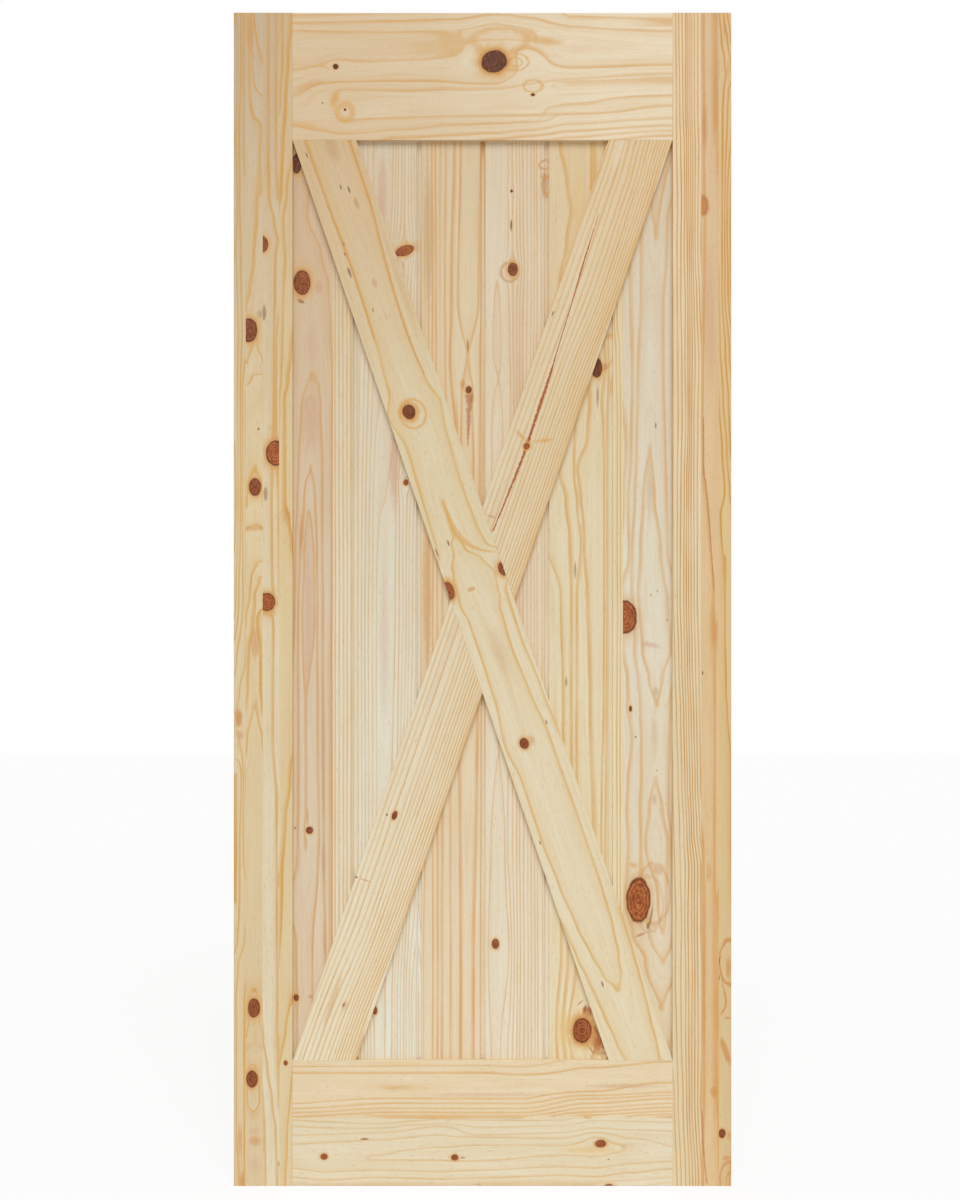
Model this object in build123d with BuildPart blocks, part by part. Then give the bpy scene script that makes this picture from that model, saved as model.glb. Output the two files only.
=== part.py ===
from build123d import *
import os
from math import acos, atan2, cos, hypot

# Sliding barn door slab in solid pine: stile-and-rail frame, plank panel and a flush X of two braces.
# Millimetres. X runs across the door, Y through it with the front face towards -Y, Z up.
# The origin is the middle of the bottom edge, half way through the thickness.

os.makedirs("parts", exist_ok=True)

# Slab
DOOR_WIDTH = 914.4
DOOR_HEIGHT = 2156.0
DOOR_THICK = 35.0

# Frame members. Each stile is glued up from strips, listed from the door's edge inwards.
STILE_WIDTH = 108.0
LEFT_STRIPS = [22.0, 31.2, 30.4, 24.4]
RIGHT_STRIPS = [22.8, 32.4, 52.8]
TOP_RAIL_HEIGHT = 234.0
BOTTOM_RAIL_HEIGHT = 231.0
BOTTOM_RAIL_GLUE_LINE = 124.0

# Plough groove round the inside of the frame, and the stub tenons that close it at the rails
PLANK_THICK = 13.0
PLOUGH_DEPTH = 10.0
TENON_LENGTH = 9.5
PLANK_ENTRY = 8.0

# Planks: tongue on the right edge, groove in the left edge, channel in the face beside each joint
PLANK_COUNT = 6
PLANK_PITCH = 117.5
CHANNEL_WIDTH = 10.0
CHANNEL_DEPTH = 3.5
CHANNEL_SLOPE = 4.0
TONGUE_THICK = 4.5
TONGUE_LENGTH = 7.0
TONGUE_GAP = 1.0
FIRST_PLANK_GLUE_LINE = -276.0
LAST_PLANK_GLUE_LINE = 258.7

# Braces, let flush into the recess in front of the planks and half-lapped where they cross
BRACE_WIDTH = 111.1

# Dowels at each corner, with their places up the rail given from the rail's inner edge
DOWEL_DIA = 16.0
DOWEL_PLAY = 0.1
DOWEL_IN_STILE = 50.0
DOWEL_IN_RAIL = 60.0
DOWEL_END_GAP = 1.5
DOWEL_CHAMFER = 1.5
DOWEL_STEPS = [45.0, 125.0, 195.0]

# Eased arrises
EDGE_EASE = 1.2
FINE_EASE = 0.5

# Derived places
OUTER_X = DOOR_WIDTH / 2
OPENING_X = OUTER_X - STILE_WIDTH
OPENING_LOW = BOTTOM_RAIL_HEIGHT
OPENING_HIGH = DOOR_HEIGHT - TOP_RAIL_HEIGHT
OPENING_WIDTH = 2 * OPENING_X
OPENING_HEIGHT = OPENING_HIGH - OPENING_LOW
FRONT_Y = -DOOR_THICK / 2
PANEL_FRONT_Y = -PLANK_THICK / 2
RECESS = PANEL_FRONT_Y - FRONT_Y
DOWEL_LENGTH = DOWEL_IN_STILE + DOWEL_IN_RAIL
DOWEL_HOLE_LENGTH = DOWEL_LENGTH + 2 * DOWEL_END_GAP
TOP_DOWEL_HEIGHTS = [OPENING_HIGH + step for step in DOWEL_STEPS]
BOTTOM_DOWEL_HEIGHTS = [OPENING_LOW - step for step in DOWEL_STEPS]


def dowel_places(side):
    """Centres of one side's dowels: side is -1 at the left stile and +1 at the right."""
    middle = side * (OPENING_X + (DOWEL_IN_STILE - DOWEL_IN_RAIL) / 2)
    return [(middle, 0, height) for height in BOTTOM_DOWEL_HEIGHTS + TOP_DOWEL_HEIGHTS]


def drill_dowel_holes(side):
    """Blind dowel holes of one side, cut from the member that is being built."""
    with Locations(*dowel_places(side)):
        Cylinder(DOWEL_DIA / 2, DOWEL_HOLE_LENGTH, rotation=(0, 90, 0), mode=Mode.SUBTRACT)


def plough(centre, size):
    """Groove of the planks' thickness, cut from the member that is being built."""
    with Locations(centre):
        Box(*size, mode=Mode.SUBTRACT)


def finish_piece(piece, label):
    """Name a finished piece and write it to its file."""
    piece.part.label = label
    export_step(piece.part, f"parts/{label}.step")


# Stiles: full-height strips, the innermost ploughed for the planks and the rail tenons
for side, side_name, strips in ((-1, "left", LEFT_STRIPS), (1, "right", RIGHT_STRIPS)):
    edge_x = side * OUTER_X
    for number, width in enumerate(strips, start=1):
        with BuildPart() as stile_strip:
            with BuildSketch(Plane.XY):
                with Locations((edge_x - side * width / 2, 0)):
                    Rectangle(width, DOOR_THICK)
            extrude(amount=DOOR_HEIGHT)
            upright = stile_strip.edges().filter_by(Axis.Z)
            if number == 1:
                chamfer(upright.group_by(SortBy.DISTANCE)[-1], EDGE_EASE)
            if number == len(strips):
                chamfer(upright.group_by(SortBy.DISTANCE)[0], FINE_EASE)
                groove_centre = (side * (OPENING_X + PLOUGH_DEPTH / 2), 0, DOOR_HEIGHT / 2)
                plough(groove_centre, (PLOUGH_DEPTH, PLANK_THICK, DOOR_HEIGHT))
            drill_dowel_holes(side)
        finish_piece(stile_strip, f"{side_name}_stile_strip_{number}")
        edge_x -= side * width


# Rails: boards between the stiles with stub tenons, ploughed along the edge that meets the planks
RAIL_BOARDS = {
    "top_rail": (OPENING_HIGH, DOOR_HEIGHT),
    "bottom_rail_upper_board": (BOTTOM_RAIL_GLUE_LINE, OPENING_LOW),
    "bottom_rail_lower_board": (0.0, BOTTOM_RAIL_GLUE_LINE),
}
for board_name, (low, high) in RAIL_BOARDS.items():
    with BuildPart() as rail_board:
        with BuildSketch(Plane.YZ):
            with Locations((0, (low + high) / 2)):
                Rectangle(DOOR_THICK, high - low)
        extrude(amount=OPENING_X, both=True)
        lengthwise = rail_board.edges().filter_by(Axis.X).group_by(Axis.Z)
        if board_name == "top_rail":
            chamfer(lengthwise[-1], EDGE_EASE)
            chamfer(rail_board.edges().filter_by(Axis.X).group_by(Axis.Z)[0], FINE_EASE)
        elif low > 0:
            chamfer(lengthwise[-1], FINE_EASE)
        else:
            chamfer(lengthwise[0], EDGE_EASE)
        with BuildSketch(Plane.YZ):
            with Locations((0, (low + high) / 2)):
                Rectangle(PLANK_THICK, high - low)
        extrude(amount=OPENING_X + TENON_LENGTH, both=True)
        for edge_z, inward in ((OPENING_HIGH, 1), (OPENING_LOW, -1)):
            groove_centre = (0, 0, edge_z + inward * PLOUGH_DEPTH / 2)
            plough(groove_centre, (DOOR_WIDTH, PLANK_THICK, PLOUGH_DEPTH))
        drill_dowel_holes(-1)
        drill_dowel_holes(1)
    finish_piece(rail_board, board_name)


# Dowels: one plain pin for each drilled hole
for side, side_name in ((-1, "left"), (1, "right")):
    for place_number, place in enumerate(dowel_places(side)):
        rail_name = "bottom" if place_number < len(DOWEL_STEPS) else "top"
        dowel_number = place_number % len(DOWEL_STEPS) + 1
        with BuildPart() as dowel:
            with Locations(place):
                Cylinder(DOWEL_DIA / 2 - DOWEL_PLAY, DOWEL_LENGTH, rotation=(0, 90, 0))
            chamfer(dowel.edges().filter_by(GeomType.CIRCLE), DOWEL_CHAMFER)
        finish_piece(dowel, f"dowel_{rail_name}_{side_name}_{dowel_number}")


def left_edge_points(x, jointed):
    """Section points down a plank's left edge, back face to front face."""
    if not jointed:
        return [(x, -PANEL_FRONT_Y), (x, PANEL_FRONT_Y)]
    depth = TONGUE_LENGTH + TONGUE_GAP
    return [
        (x, -PANEL_FRONT_Y),
        (x, TONGUE_THICK / 2),
        (x + depth, TONGUE_THICK / 2),
        (x + depth, -TONGUE_THICK / 2),
        (x, -TONGUE_THICK / 2),
        (x, PANEL_FRONT_Y + FINE_EASE),
        (x + FINE_EASE, PANEL_FRONT_Y),
    ]


def right_edge_points(x, jointed):
    """Section points up a plank's right edge, front face to back face, with the channel and tongue."""
    if not jointed:
        return [(x, PANEL_FRONT_Y), (x, -PANEL_FRONT_Y)]
    floor_y = PANEL_FRONT_Y + CHANNEL_DEPTH
    return [
        (x - CHANNEL_WIDTH, PANEL_FRONT_Y),
        (x - CHANNEL_WIDTH + CHANNEL_SLOPE, floor_y),
        (x, floor_y),
        (x, -TONGUE_THICK / 2),
        (x + TONGUE_LENGTH, -TONGUE_THICK / 2),
        (x + TONGUE_LENGTH, TONGUE_THICK / 2),
        (x, TONGUE_THICK / 2),
        (x, -PANEL_FRONT_Y),
    ]


# Planks: the channels are centred on the door, so each joint line lies half a channel right of them
joint_lines = [
    (index - PLANK_COUNT / 2) * PLANK_PITCH + CHANNEL_WIDTH / 2 for index in range(1, PLANK_COUNT)
]
panel_edge = OPENING_X + PLANK_ENTRY
plank_edges = [-panel_edge] + joint_lines + [panel_edge]
PANEL_PIECES = {
    "plank_1_left_strip": (plank_edges[0], FIRST_PLANK_GLUE_LINE, False, False),
    "plank_1_right_strip": (FIRST_PLANK_GLUE_LINE, plank_edges[1], False, True),
}
for number in range(2, PLANK_COUNT):
    PANEL_PIECES[f"plank_{number}"] = (plank_edges[number - 1], plank_edges[number], True, True)
PANEL_PIECES["plank_6_left_strip"] = (plank_edges[-2], LAST_PLANK_GLUE_LINE, True, False)
PANEL_PIECES["plank_6_right_strip"] = (LAST_PLANK_GLUE_LINE, plank_edges[-1], False, False)

for plank_name, (left_x, right_x, left_jointed, right_jointed) in PANEL_PIECES.items():
    with BuildPart() as plank:
        with BuildSketch(Plane.XY.offset(OPENING_LOW - PLANK_ENTRY)):
            with BuildLine():
                outline = left_edge_points(left_x, left_jointed) + right_edge_points(right_x, right_jointed)
                Polyline(*outline, close=True)
            make_face()
        extrude(amount=OPENING_HEIGHT + 2 * PLANK_ENTRY)
    finish_piece(plank, plank_name)


# Braces run from corner to corner of the opening. Their lean from upright follows from the opening and
# the brace's width, because both edges of each end have to land on the rail inside the opening.
diagonal = hypot(OPENING_WIDTH, OPENING_HEIGHT)
lean = acos(BRACE_WIDTH / diagonal) - atan2(OPENING_HEIGHT, OPENING_WIDTH)
foot = BRACE_WIDTH / cos(lean)
lap_depth = RECESS / 2


def brace_outline(direction):
    """Corners of a brace in the door's plane: +1 leans like a backslash, -1 like a slash."""
    corners = [
        (-direction * OPENING_X, OPENING_HIGH),
        (-direction * (OPENING_X - foot), OPENING_HIGH),
        (direction * OPENING_X, OPENING_LOW),
        (direction * (OPENING_X - foot), OPENING_LOW),
    ]
    return corners if direction > 0 else corners[::-1]


# The planes below look from the front, with X to the right and Z up; their normal points to the viewer
front_plane = Plane(origin=(0, FRONT_Y, 0), x_dir=(1, 0, 0), z_dir=(0, -1, 0))
back_plane = front_plane.offset(-RECESS)
lap_plane = front_plane.offset(-lap_depth)


def ease_brace_arrises(brace):
    """Fine chamfer on the long front arrises, and on the shoulders of a lap that is cut in the face."""
    front_edges = brace.faces().filter_by(Axis.Y).group_by(Axis.Y)[0].edges()
    chamfer(front_edges.filter_by(Axis.X, reverse=True), FINE_EASE)


with BuildPart() as falling_brace:
    with BuildSketch(back_plane):
        Polygon(*brace_outline(1), align=None)
    extrude(amount=RECESS)
    with BuildSketch(back_plane):
        Polygon(*brace_outline(-1), align=None)
    extrude(amount=RECESS - lap_depth, mode=Mode.SUBTRACT)
    ease_brace_arrises(falling_brace)
finish_piece(falling_brace, "falling_brace")

with BuildPart() as rising_brace:
    with BuildSketch(back_plane):
        Polygon(*brace_outline(-1), align=None)
    extrude(amount=RECESS)
    with BuildSketch(lap_plane):
        Polygon(*brace_outline(1), align=None)
    extrude(amount=lap_depth, mode=Mode.SUBTRACT)
    ease_brace_arrises(rising_brace)
finish_piece(rising_brace, "rising_brace")
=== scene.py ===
from dataclasses import dataclass, field
from math import cos, pi, radians, sin

import bpy
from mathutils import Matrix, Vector


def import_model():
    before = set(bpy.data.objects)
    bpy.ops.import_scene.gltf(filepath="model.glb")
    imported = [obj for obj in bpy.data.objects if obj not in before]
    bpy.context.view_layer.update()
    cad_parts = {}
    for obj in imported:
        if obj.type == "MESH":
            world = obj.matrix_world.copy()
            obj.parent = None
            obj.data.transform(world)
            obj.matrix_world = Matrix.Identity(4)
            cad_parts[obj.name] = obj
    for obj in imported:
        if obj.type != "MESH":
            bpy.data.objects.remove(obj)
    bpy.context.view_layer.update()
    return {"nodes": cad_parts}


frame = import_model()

# The photo's frame. Places on the door's face are photo pixels, and every material works in millimetres.
PHOTO_WIDTH = 960
PHOTO_HEIGHT = 1200
PIXEL = 1.8374
MIDDLE_COLUMN = 482.55
BOTTOM_ROW = 1186.1
TO_MM = 1000.0

# The camera stands level, straight in front of the door.
CAMERA_DISTANCE = 3.2
SENSOR = 36.0

# Depths of the show faces, the braces' lean from upright and the height of their crossing.
FACE = -17.5
PLANK_FACE = -6.5
BRACE_LEAN = radians(18.96)
CROSSING_HEIGHT = 1076.5

# How much longer than wide the grain's swerve round a knot is, the step in millimetres over which a ring
# number's slope is taken, the least slope in rings to a millimetre, and a size that is never reached.
GRAIN_STRETCH = 2.4
SLOPE_STEP = 1.0
LEAST_SLOPE = 1 / 90
NO_LIMIT = 1e6

# Each pattern's noise: how long its features are in millimetres across, through and along the wood, its
# detail, and what it adds to the board's seed.
PATTERNS = {
    "slow bends": ((60, 60, 240), 0.0, 0),
    "quick bends": ((12, 12, 50), 1.0, 5),
    "line fading": ((15, 15, 90), 0.0, 3),
    "faint patches": ((22, 22, 130), 1.0, 51),
    "fibres": ((0.9, 0.9, 26), 1.0, 31),
    "long shades": ((4, 4, 150), 1.0, 37),
    "clouds": ((40, 40, 200), 1.0, 41),
    "resin canals": ((1.4, 1.4, 13), 1.0, 47),
    "mark edges": ((5, 5, 9), 2.0, 13),
    "streak edges": ((1.6, 1.6, 5), 1.0, 17),
    "knot edges": ((13, 13, 17), 2.0, 21),
    "knot rings": ((6, 6, 9), 1.0, 27),
    "knot patches": ((4.5, 4.5, 8), 2.0, 25),
    "knot cracks": ((2.2, 2.2, 3), 1.0, 29),
    "knot glints": ((2, 2, 3.4), 1.0, 33),
}
# How far one step of the seed moves a noise on each axis.
SEED_STEPS = (1.0, 1.7, 2.3)
# How far slow and quick bends push the grain sideways, in millimetres for a wander of 1.
SLOW_BEND = 4
QUICK_BEND = 1.6

# Ranges: where a value starts and ends, and what it turns into there.
LINE_FADING = (0.3, 0.7, 0.7, 1.0)
FAINT_LINES = (0.15, 0.5)
FAINT_PATCHES = (0.35, 0.65)
CLOUD_SHADE = (0.3, 0.7, 0.985, 1.01)
LONG_SHADE = (0.3, 0.7, 0.986, 1.012)
FIBRE_SHADE = (0.25, 0.75, 0.984, 1.012)
RESIN_CANALS = (0.64, 0.74)
STREAK_FRAY = (0.3, 0.7, 0.5, 1.5)
STREAK_EDGE = (0.5, 1.2)
AMBER_HALO = (0.95, 2.1, 0.9, 0.0)
ORANGE_HALO = (1.0, 1.4, 0.9, 0.0)
KNOT_PATCHES = (0.3, 0.7)
DARK_RINGS = (-1.0, 0.6, 0.36, 0.0)
PALE_RINGS = (0.3, 1.0, 0.0, 0.2)
KNOT_RIM = (0.78, 0.98, 0.0, 0.75)
KNOT_CRACKS = (0.6, 0.7, 0.0, 0.35)
# The knots' pale flecks are partly pitch cracks and partly painted glints of reflected light, stronger in
# dark knots.
KNOT_FLECKS_AND_PAINTED_GLINTS = (0.64, 0.76, 0.0, 0.6)
FLECKS_AND_PAINTED_GLINTS_IN_DARK = (0.0, 1.0, 0.35, 1.0)
KNOT_EDGE = (0.93, 1.06, 1.0, 0.0)
FIBRE_ROUGHNESS = (0.2, 0.8, 0.58, 0.7)

# Lines: how late in a ring the wood darkens, how wide a heavy line can be, what sets the rings' strengths
# apart, and how many faint lines a ring has.
BUILD_POWER = 4.0
WIDEST_LINE = 4
RING_SEED = 3.1
FAINT_TO_A_RING = 3.0

# Shade takes green and blue out of the wood faster than red, by these powers.
SHADE_GREEN = 2.2
SHADE_BLUE = 4.0

# Knots: further than any edge, how ragged the edge and the halo are, how bent and how close the rings are,
# and how much of them a dark knot hides. A pitch streak fades out over its last millimetres.
BEYOND_KNOTS = 9.0
KNOT_RAGGED = 0.2
HALO_RAGGED = 1.2
KNOT_RING_BEND = 9.0
KNOT_RING_RATE = 26.0
HIDDEN_RINGS = 0.8
STREAK_END = 8

# Surface: how far lines sink and knots rise beside the fibres, the bump's strength and its depth in metres,
# how much smoother lines and knots are, and how the wood bends and reflects light.
LINE_SINK = -0.35
KNOT_RISE = 0.8
BUMP_STRENGTH = 0.35
BUMP_DEPTH = 0.00012
LINE_POLISH = -0.08
KNOT_POLISH = -0.15
WOOD_IOR = 1.45
WOOD_SHINE = 0.3

# The studio: half the floor's width in metres and how white the camera sees it, the soft light from
# everywhere, which is warm so that the shade is, and the broad light, which makes up for its colour.
FLOOR_HALF = 9.0
FLOOR_GLOW = 1.05
FLOOR_GLOW_SHARE = 0.8
SOFT_LIGHT = 0.45
SOFT_COLOUR = (1.0, 0.95, 0.84, 1.0)
WHITE = (1, 1, 1, 1)
SUN_STRENGTH = 1.98
SUN_COLOUR = (0.8475, 0.887, 0.97)
SUN_SPREAD = radians(40)
SUN_SIDE = radians(4)
SUN_HEIGHT = radians(42)
FARTHEST_VIEW = 60


def door_x(column):
    """Millimetres right of the door's middle line for a photo column."""
    return (column - MIDDLE_COLUMN) * PIXEL


def door_z(row):
    """Millimetres above the door's bottom edge for a photo row."""
    return (BOTTOM_ROW - row) * PIXEL


def tone(red, green, blue):
    """A screen colour from 0 to 255 as a linear RGBA."""

    def linear(value):
        value /= 255
        return value / 12.92 if value <= 0.04045 else ((value + 0.055) / 1.055) ** 2.4

    return (linear(red), linear(green), linear(blue), 1.0)


TINTS = {
    "orange": tone(204, 142, 74),
    "amber": tone(218, 168, 98),
    "yellow": tone(226, 192, 128),
    "pink": tone(206, 158, 128),
    "red": tone(142, 62, 26),
    "rust": tone(170, 82, 32),
    "brown": tone(110, 66, 36),
    "fleck": tone(158, 112, 70),
    "grey": tone(112, 98, 90),
    "bark": tone(158, 128, 100),
    "pale": tone(232, 214, 184),
    "tan": tone(198, 158, 112),
}
KNOT_TONES = {
    "heart": tone(142, 66, 25),
    "pale heart": tone(192, 108, 52),
    "black": tone(40, 18, 12),
    "pale black": tone(88, 40, 22),
    "ring": tone(84, 36, 16),
    "between rings": tone(208, 146, 104),
    "rim": tone(82, 36, 16),
    "crack": tone(50, 26, 18),
    # A pale fleck in a knot: partly pitch, partly a painted glint of reflected light.
    "fleck_and_painted_glint": tone(206, 160, 124),
}
FLOOR_TONE = tone(238, 238, 238)


@dataclass
class Knot:
    """A knot. Upright and lying boards give x and y as a photo column and row, and a brace gives them as
    photo pixels across it and along it from the crossing. wide is measured along x, and tall along y."""

    x: float
    y: float
    wide: float
    tall: float
    turn: float = 0.0
    dark: float = 0.5  # 0 is red brown and 1 nearly black
    push: float = 1.4  # how far the grain swerves, in knot widths
    glow: float = 0.6  # how orange the wood is just outside it


@dataclass
class Mark:
    """A patch, pitch pocket or fleck, placed like a knot. A hollow one is a ring, that share of it wide."""

    x: float
    y: float
    wide: float
    tall: float
    turn: float = 0.0
    tint: str = "orange"
    amount: float = 0.6
    soft: float = 0.6
    ragged: float = 0.5
    hollow: float = 0.0


@dataclass
class Streak:
    """A long pitch streak through points of (along, across, width), placed like a knot."""

    points: list
    tint: str = "red"
    amount: float = 0.9


@dataclass
class Board:
    """One piece of pine. Each section is (place along the board, where the growth rings cross it there), and
    a whole ring number is a dark line. Colours are given at places along the board: the wood's own tone,
    with painted shade that makes the boards darker and tanner towards the top of the door, most at the top
    left."""

    grain: str
    tones: list
    sections: list
    line: tuple = (213, 156, 62)
    soft: float = 6.5
    sharp: float = 2.4
    contrast: float = 0.85
    build: float = 0.4  # how far the wood warms before a line
    faint: float = 0.0  # how strongly weaker lines show between the rings
    uneven: float = 0.35
    heavy: dict = field(default_factory=dict)
    tilt: float = 1.5
    wander: float = 0.6
    speckle: float = 0.24
    face: float = FACE
    knots: list = field(default_factory=list)
    marks: list = field(default_factory=list)
    streaks: list = field(default_factory=list)
    seed: float = 0.0


def alike(*spots, **look):
    """Marks that look the same. Each spot gives x, y, wide, tall and, where it isn't 0, turn."""
    return [Mark(*spot, **look) for spot in spots]


def count(*places, start=1):
    """One ring after another at these places."""
    return [(place, start + number) for number, place in enumerate(places)]


class Nodes:
    """Builds one node tree. A value is a socket, a number or a tuple."""

    def __init__(self, tree):
        self.tree = tree

    def feed(self, socket, value):
        if isinstance(value, bpy.types.NodeSocket):
            self.tree.links.new(value, socket)
        else:
            socket.default_value = value

    def add(self, kind, values, out=0, **settings):
        node = self.tree.nodes.new("ShaderNode" + kind)
        for name, value in settings.items():
            setattr(node, name, value)
        for key, value in values.items():
            self.feed(node.inputs[key], value)
        return node.outputs[out]

    def math(self, operation, *values):
        return self.add("Math", dict(enumerate(values)), operation=operation)

    def plus(self, a, b):
        return self.math("ADD", a, b)

    def minus(self, a, b):
        return self.math("SUBTRACT", a, b)

    def times(self, a, b):
        return self.math("MULTIPLY", a, b)

    def times_plus(self, a, b, c):
        return self.math("MULTIPLY_ADD", a, b, c)

    def vector(self, operation, *values, out=0):
        return self.add("VectorMath", dict(enumerate(values)), out=out, operation=operation)

    def join(self, x, y, z):
        return self.add("CombineXYZ", {0: x, 1: y, 2: z})

    def part(self, vector, axis):
        return self.add("SeparateXYZ", {0: vector}, out="XYZ".index(axis))

    def into(self, vector, centre, turn, sizes):
        """The vector seen from centre, turned about Y, in units of sizes."""
        values = {"Vector": vector, "Location": centre, "Rotation": (0, turn, 0), "Scale": sizes}
        return self.add("Mapping", values, vector_type="TEXTURE")

    def noise(self, vector, sizes, detail=0.0, seed=0.0):
        """Noise from 0 to 1 whose features are about sizes long on each axis."""
        shift = [seed * step for step in SEED_STEPS]
        scaled = self.vector("MULTIPLY_ADD", vector, [1 / size for size in sizes], shift)
        return self.add("TexNoise", {"Vector": scaled, "Scale": 1.0, "Detail": detail}, out="Fac")

    def spread(self, value, low, high, first=0.0, last=1.0, kind="SMOOTHSTEP"):
        """Goes from first to last as value goes from low to high."""
        values = {"Value": value, "From Min": low, "From Max": high, "To Min": first, "To Max": last}
        return self.add("MapRange", values, interpolation_type=kind)

    def even(self, value, low, high, first=0.0, last=1.0):
        return self.spread(value, low, high, first, last, "LINEAR")

    def mix(self, factor, first, second, blend="MIX"):
        values = {"Factor": factor, 6: first, 7: second}
        return self.add("Mix", values, out=2, data_type="RGBA", blend_type=blend)

    def curve(self, value, points):
        """A smooth curve through points whose x and y are both from 0 to 1."""
        node = self.tree.nodes.new("ShaderNodeFloatCurve")
        self.feed(node.inputs["Value"], value)
        places = node.mapping.curves[0].points
        while len(places) < len(points):
            places.new(0.5, 0.5)
        for place, point in zip(places, sorted(points)):
            place.location = point
            place.handle_type = "AUTO_CLAMPED"
        node.mapping.update()
        return node.outputs[0]

    def colours(self, value, stops):
        """A colour ramp through stops of (place from 0 to 1, colour)."""
        node = self.tree.nodes.new("ShaderNodeValToRGB")
        self.feed(node.inputs[0], value)
        elements = node.color_ramp.elements
        while len(elements) < len(stops):
            elements.new(0.5)
        for element, (place, colour) in zip(elements, sorted(stops)):
            element.position = place
            element.color = colour
        return node.outputs[0]


# Each grain's direction along and across a board, as (right, up) on the door's face.
GRAIN = {
    "up": ((0, 1), (1, 0)),
    "side": ((1, 0), (0, 1)),
    "falling": ((-sin(BRACE_LEAN), cos(BRACE_LEAN)), (cos(BRACE_LEAN), sin(BRACE_LEAN))),
    "rising": ((sin(BRACE_LEAN), cos(BRACE_LEAN)), (cos(BRACE_LEAN), -sin(BRACE_LEAN))),
}
BRACE_TURN = {"falling": -BRACE_LEAN, "rising": BRACE_LEAN}


def along_mm(board, place):
    """A place along the board, in millimetres in the board's own direction."""
    if board.grain == "up":
        return door_z(place)
    if board.grain == "side":
        return door_x(place)
    return CROSSING_HEIGHT * GRAIN[board.grain][0][1] + place * PIXEL


def across_mm(board, place):
    """A place across the board, in millimetres in the board's own direction."""
    if board.grain == "up":
        return door_x(place)
    if board.grain == "side":
        return door_z(place)
    return CROSSING_HEIGHT * GRAIN[board.grain][1][1] + place * PIXEL


def spot_of(board, item):
    """Where a knot or mark lies along and across the board."""
    if board.grain == "side":
        return along_mm(board, item.x), across_mm(board, item.y)
    return along_mm(board, item.y), across_mm(board, item.x)


def face_place(board, item):
    """Where a knot or mark lies on the door's face, and its turn."""
    along, across = spot_of(board, item)
    forward, sideways = GRAIN[board.grain]
    x = along * forward[0] + across * sideways[0]
    z = along * forward[1] + across * sideways[1]
    return (x, 0, z), radians(item.turn) + BRACE_TURN.get(board.grain, 0.0)


def ellipse_distance(nodes, board, place, item):
    """How far the point is from a knot's or mark's centre: 1 is its edge."""
    centre, turn = face_place(board, item)
    sizes = (item.wide * PIXEL / 2, NO_LIMIT, item.tall * PIXEL / 2)
    return nodes.vector("LENGTH", nodes.into(place, centre, turn, sizes), out="Value")


def board_spot(nodes, board, place):
    """The point as (across, depth, along) in the board's own directions."""
    forward, sideways = GRAIN[board.grain]
    across = nodes.vector("DOT_PRODUCT", place, (sideways[0], 0, sideways[1]), out="Value")
    along = nodes.vector("DOT_PRODUCT", place, (forward[0], 0, forward[1]), out="Value")
    return nodes.join(across, nodes.part(place, "Y"), along)


def pattern(nodes, board, name, place):
    """One of the named noises, different in each board."""
    sizes, detail, apart = PATTERNS[name]
    return nodes.noise(place, sizes, detail, board.seed + apart)


def swerve(nodes, board, spot, shift):
    """Adds to shift how far the grain swerves round each knot, as a stream parts round a pillar."""
    for knot in board.knots:
        along, across = spot_of(board, knot)
        girth = knot.tall if board.grain == "side" else knot.wide
        reach = knot.push * PIXEL * girth / 2
        near = nodes.into(spot, (across, 0, along), 0.0, (reach, NO_LIMIT, reach * GRAIN_STRETCH))
        squared = nodes.vector("DOT_PRODUCT", near, near, out="Value")
        bend = nodes.math("DIVIDE", nodes.part(near, "X"), nodes.math("MAXIMUM", squared, 1.0))
        shift = nodes.times_plus(bend, -reach, shift)
    return shift


def grain_across(nodes, board, spot):
    """How far across the board the grain line through a point started out."""
    slow = nodes.minus(pattern(nodes, board, "slow bends", spot), 0.5)
    quick = nodes.minus(pattern(nodes, board, "quick bends", spot), 0.5)
    shift = nodes.times_plus(slow, SLOW_BEND * board.wander, nodes.times(quick, QUICK_BEND * board.wander))
    shift = swerve(nodes, board, spot, shift)
    inside = nodes.minus(nodes.part(spot, "Y"), board.face)
    return nodes.plus(nodes.part(spot, "X"), nodes.times_plus(inside, board.tilt, shift))


def ring_number(nodes, board, across, along):
    """The growth ring at a point, blended from the section before it and the section after it."""
    sections = sorted(
        (along_mm(board, place), [(across_mm(board, spot), ring) for spot, ring in rings])
        for place, rings in board.sections
    )
    spots = [spot for _, rings in sections for spot, _ in rings]
    low, high = min(spots), max(spots)
    most = max(ring for _, rings in sections for _, ring in rings) + 1.0
    share = nodes.times_plus(across, 1 / (high - low), -low / (high - low))
    share = nodes.math("PINGPONG", share, 1.0)
    number = None
    for place, rings in sections:
        points = sorted(((spot - low) / (high - low), ring / most) for spot, ring in rings)
        if points[0][0] > 0:
            points.insert(0, (0.0, points[0][1]))
        if points[-1][0] < 1:
            points.append((1.0, points[-1][1]))
        here = nodes.curve(share, points)
        if number is None:
            number = here
        else:
            weight = nodes.spread(along, before, place)
            number = nodes.times_plus(nodes.minus(here, number), weight, number)
        before = place
    return nodes.times(number, most)


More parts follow.
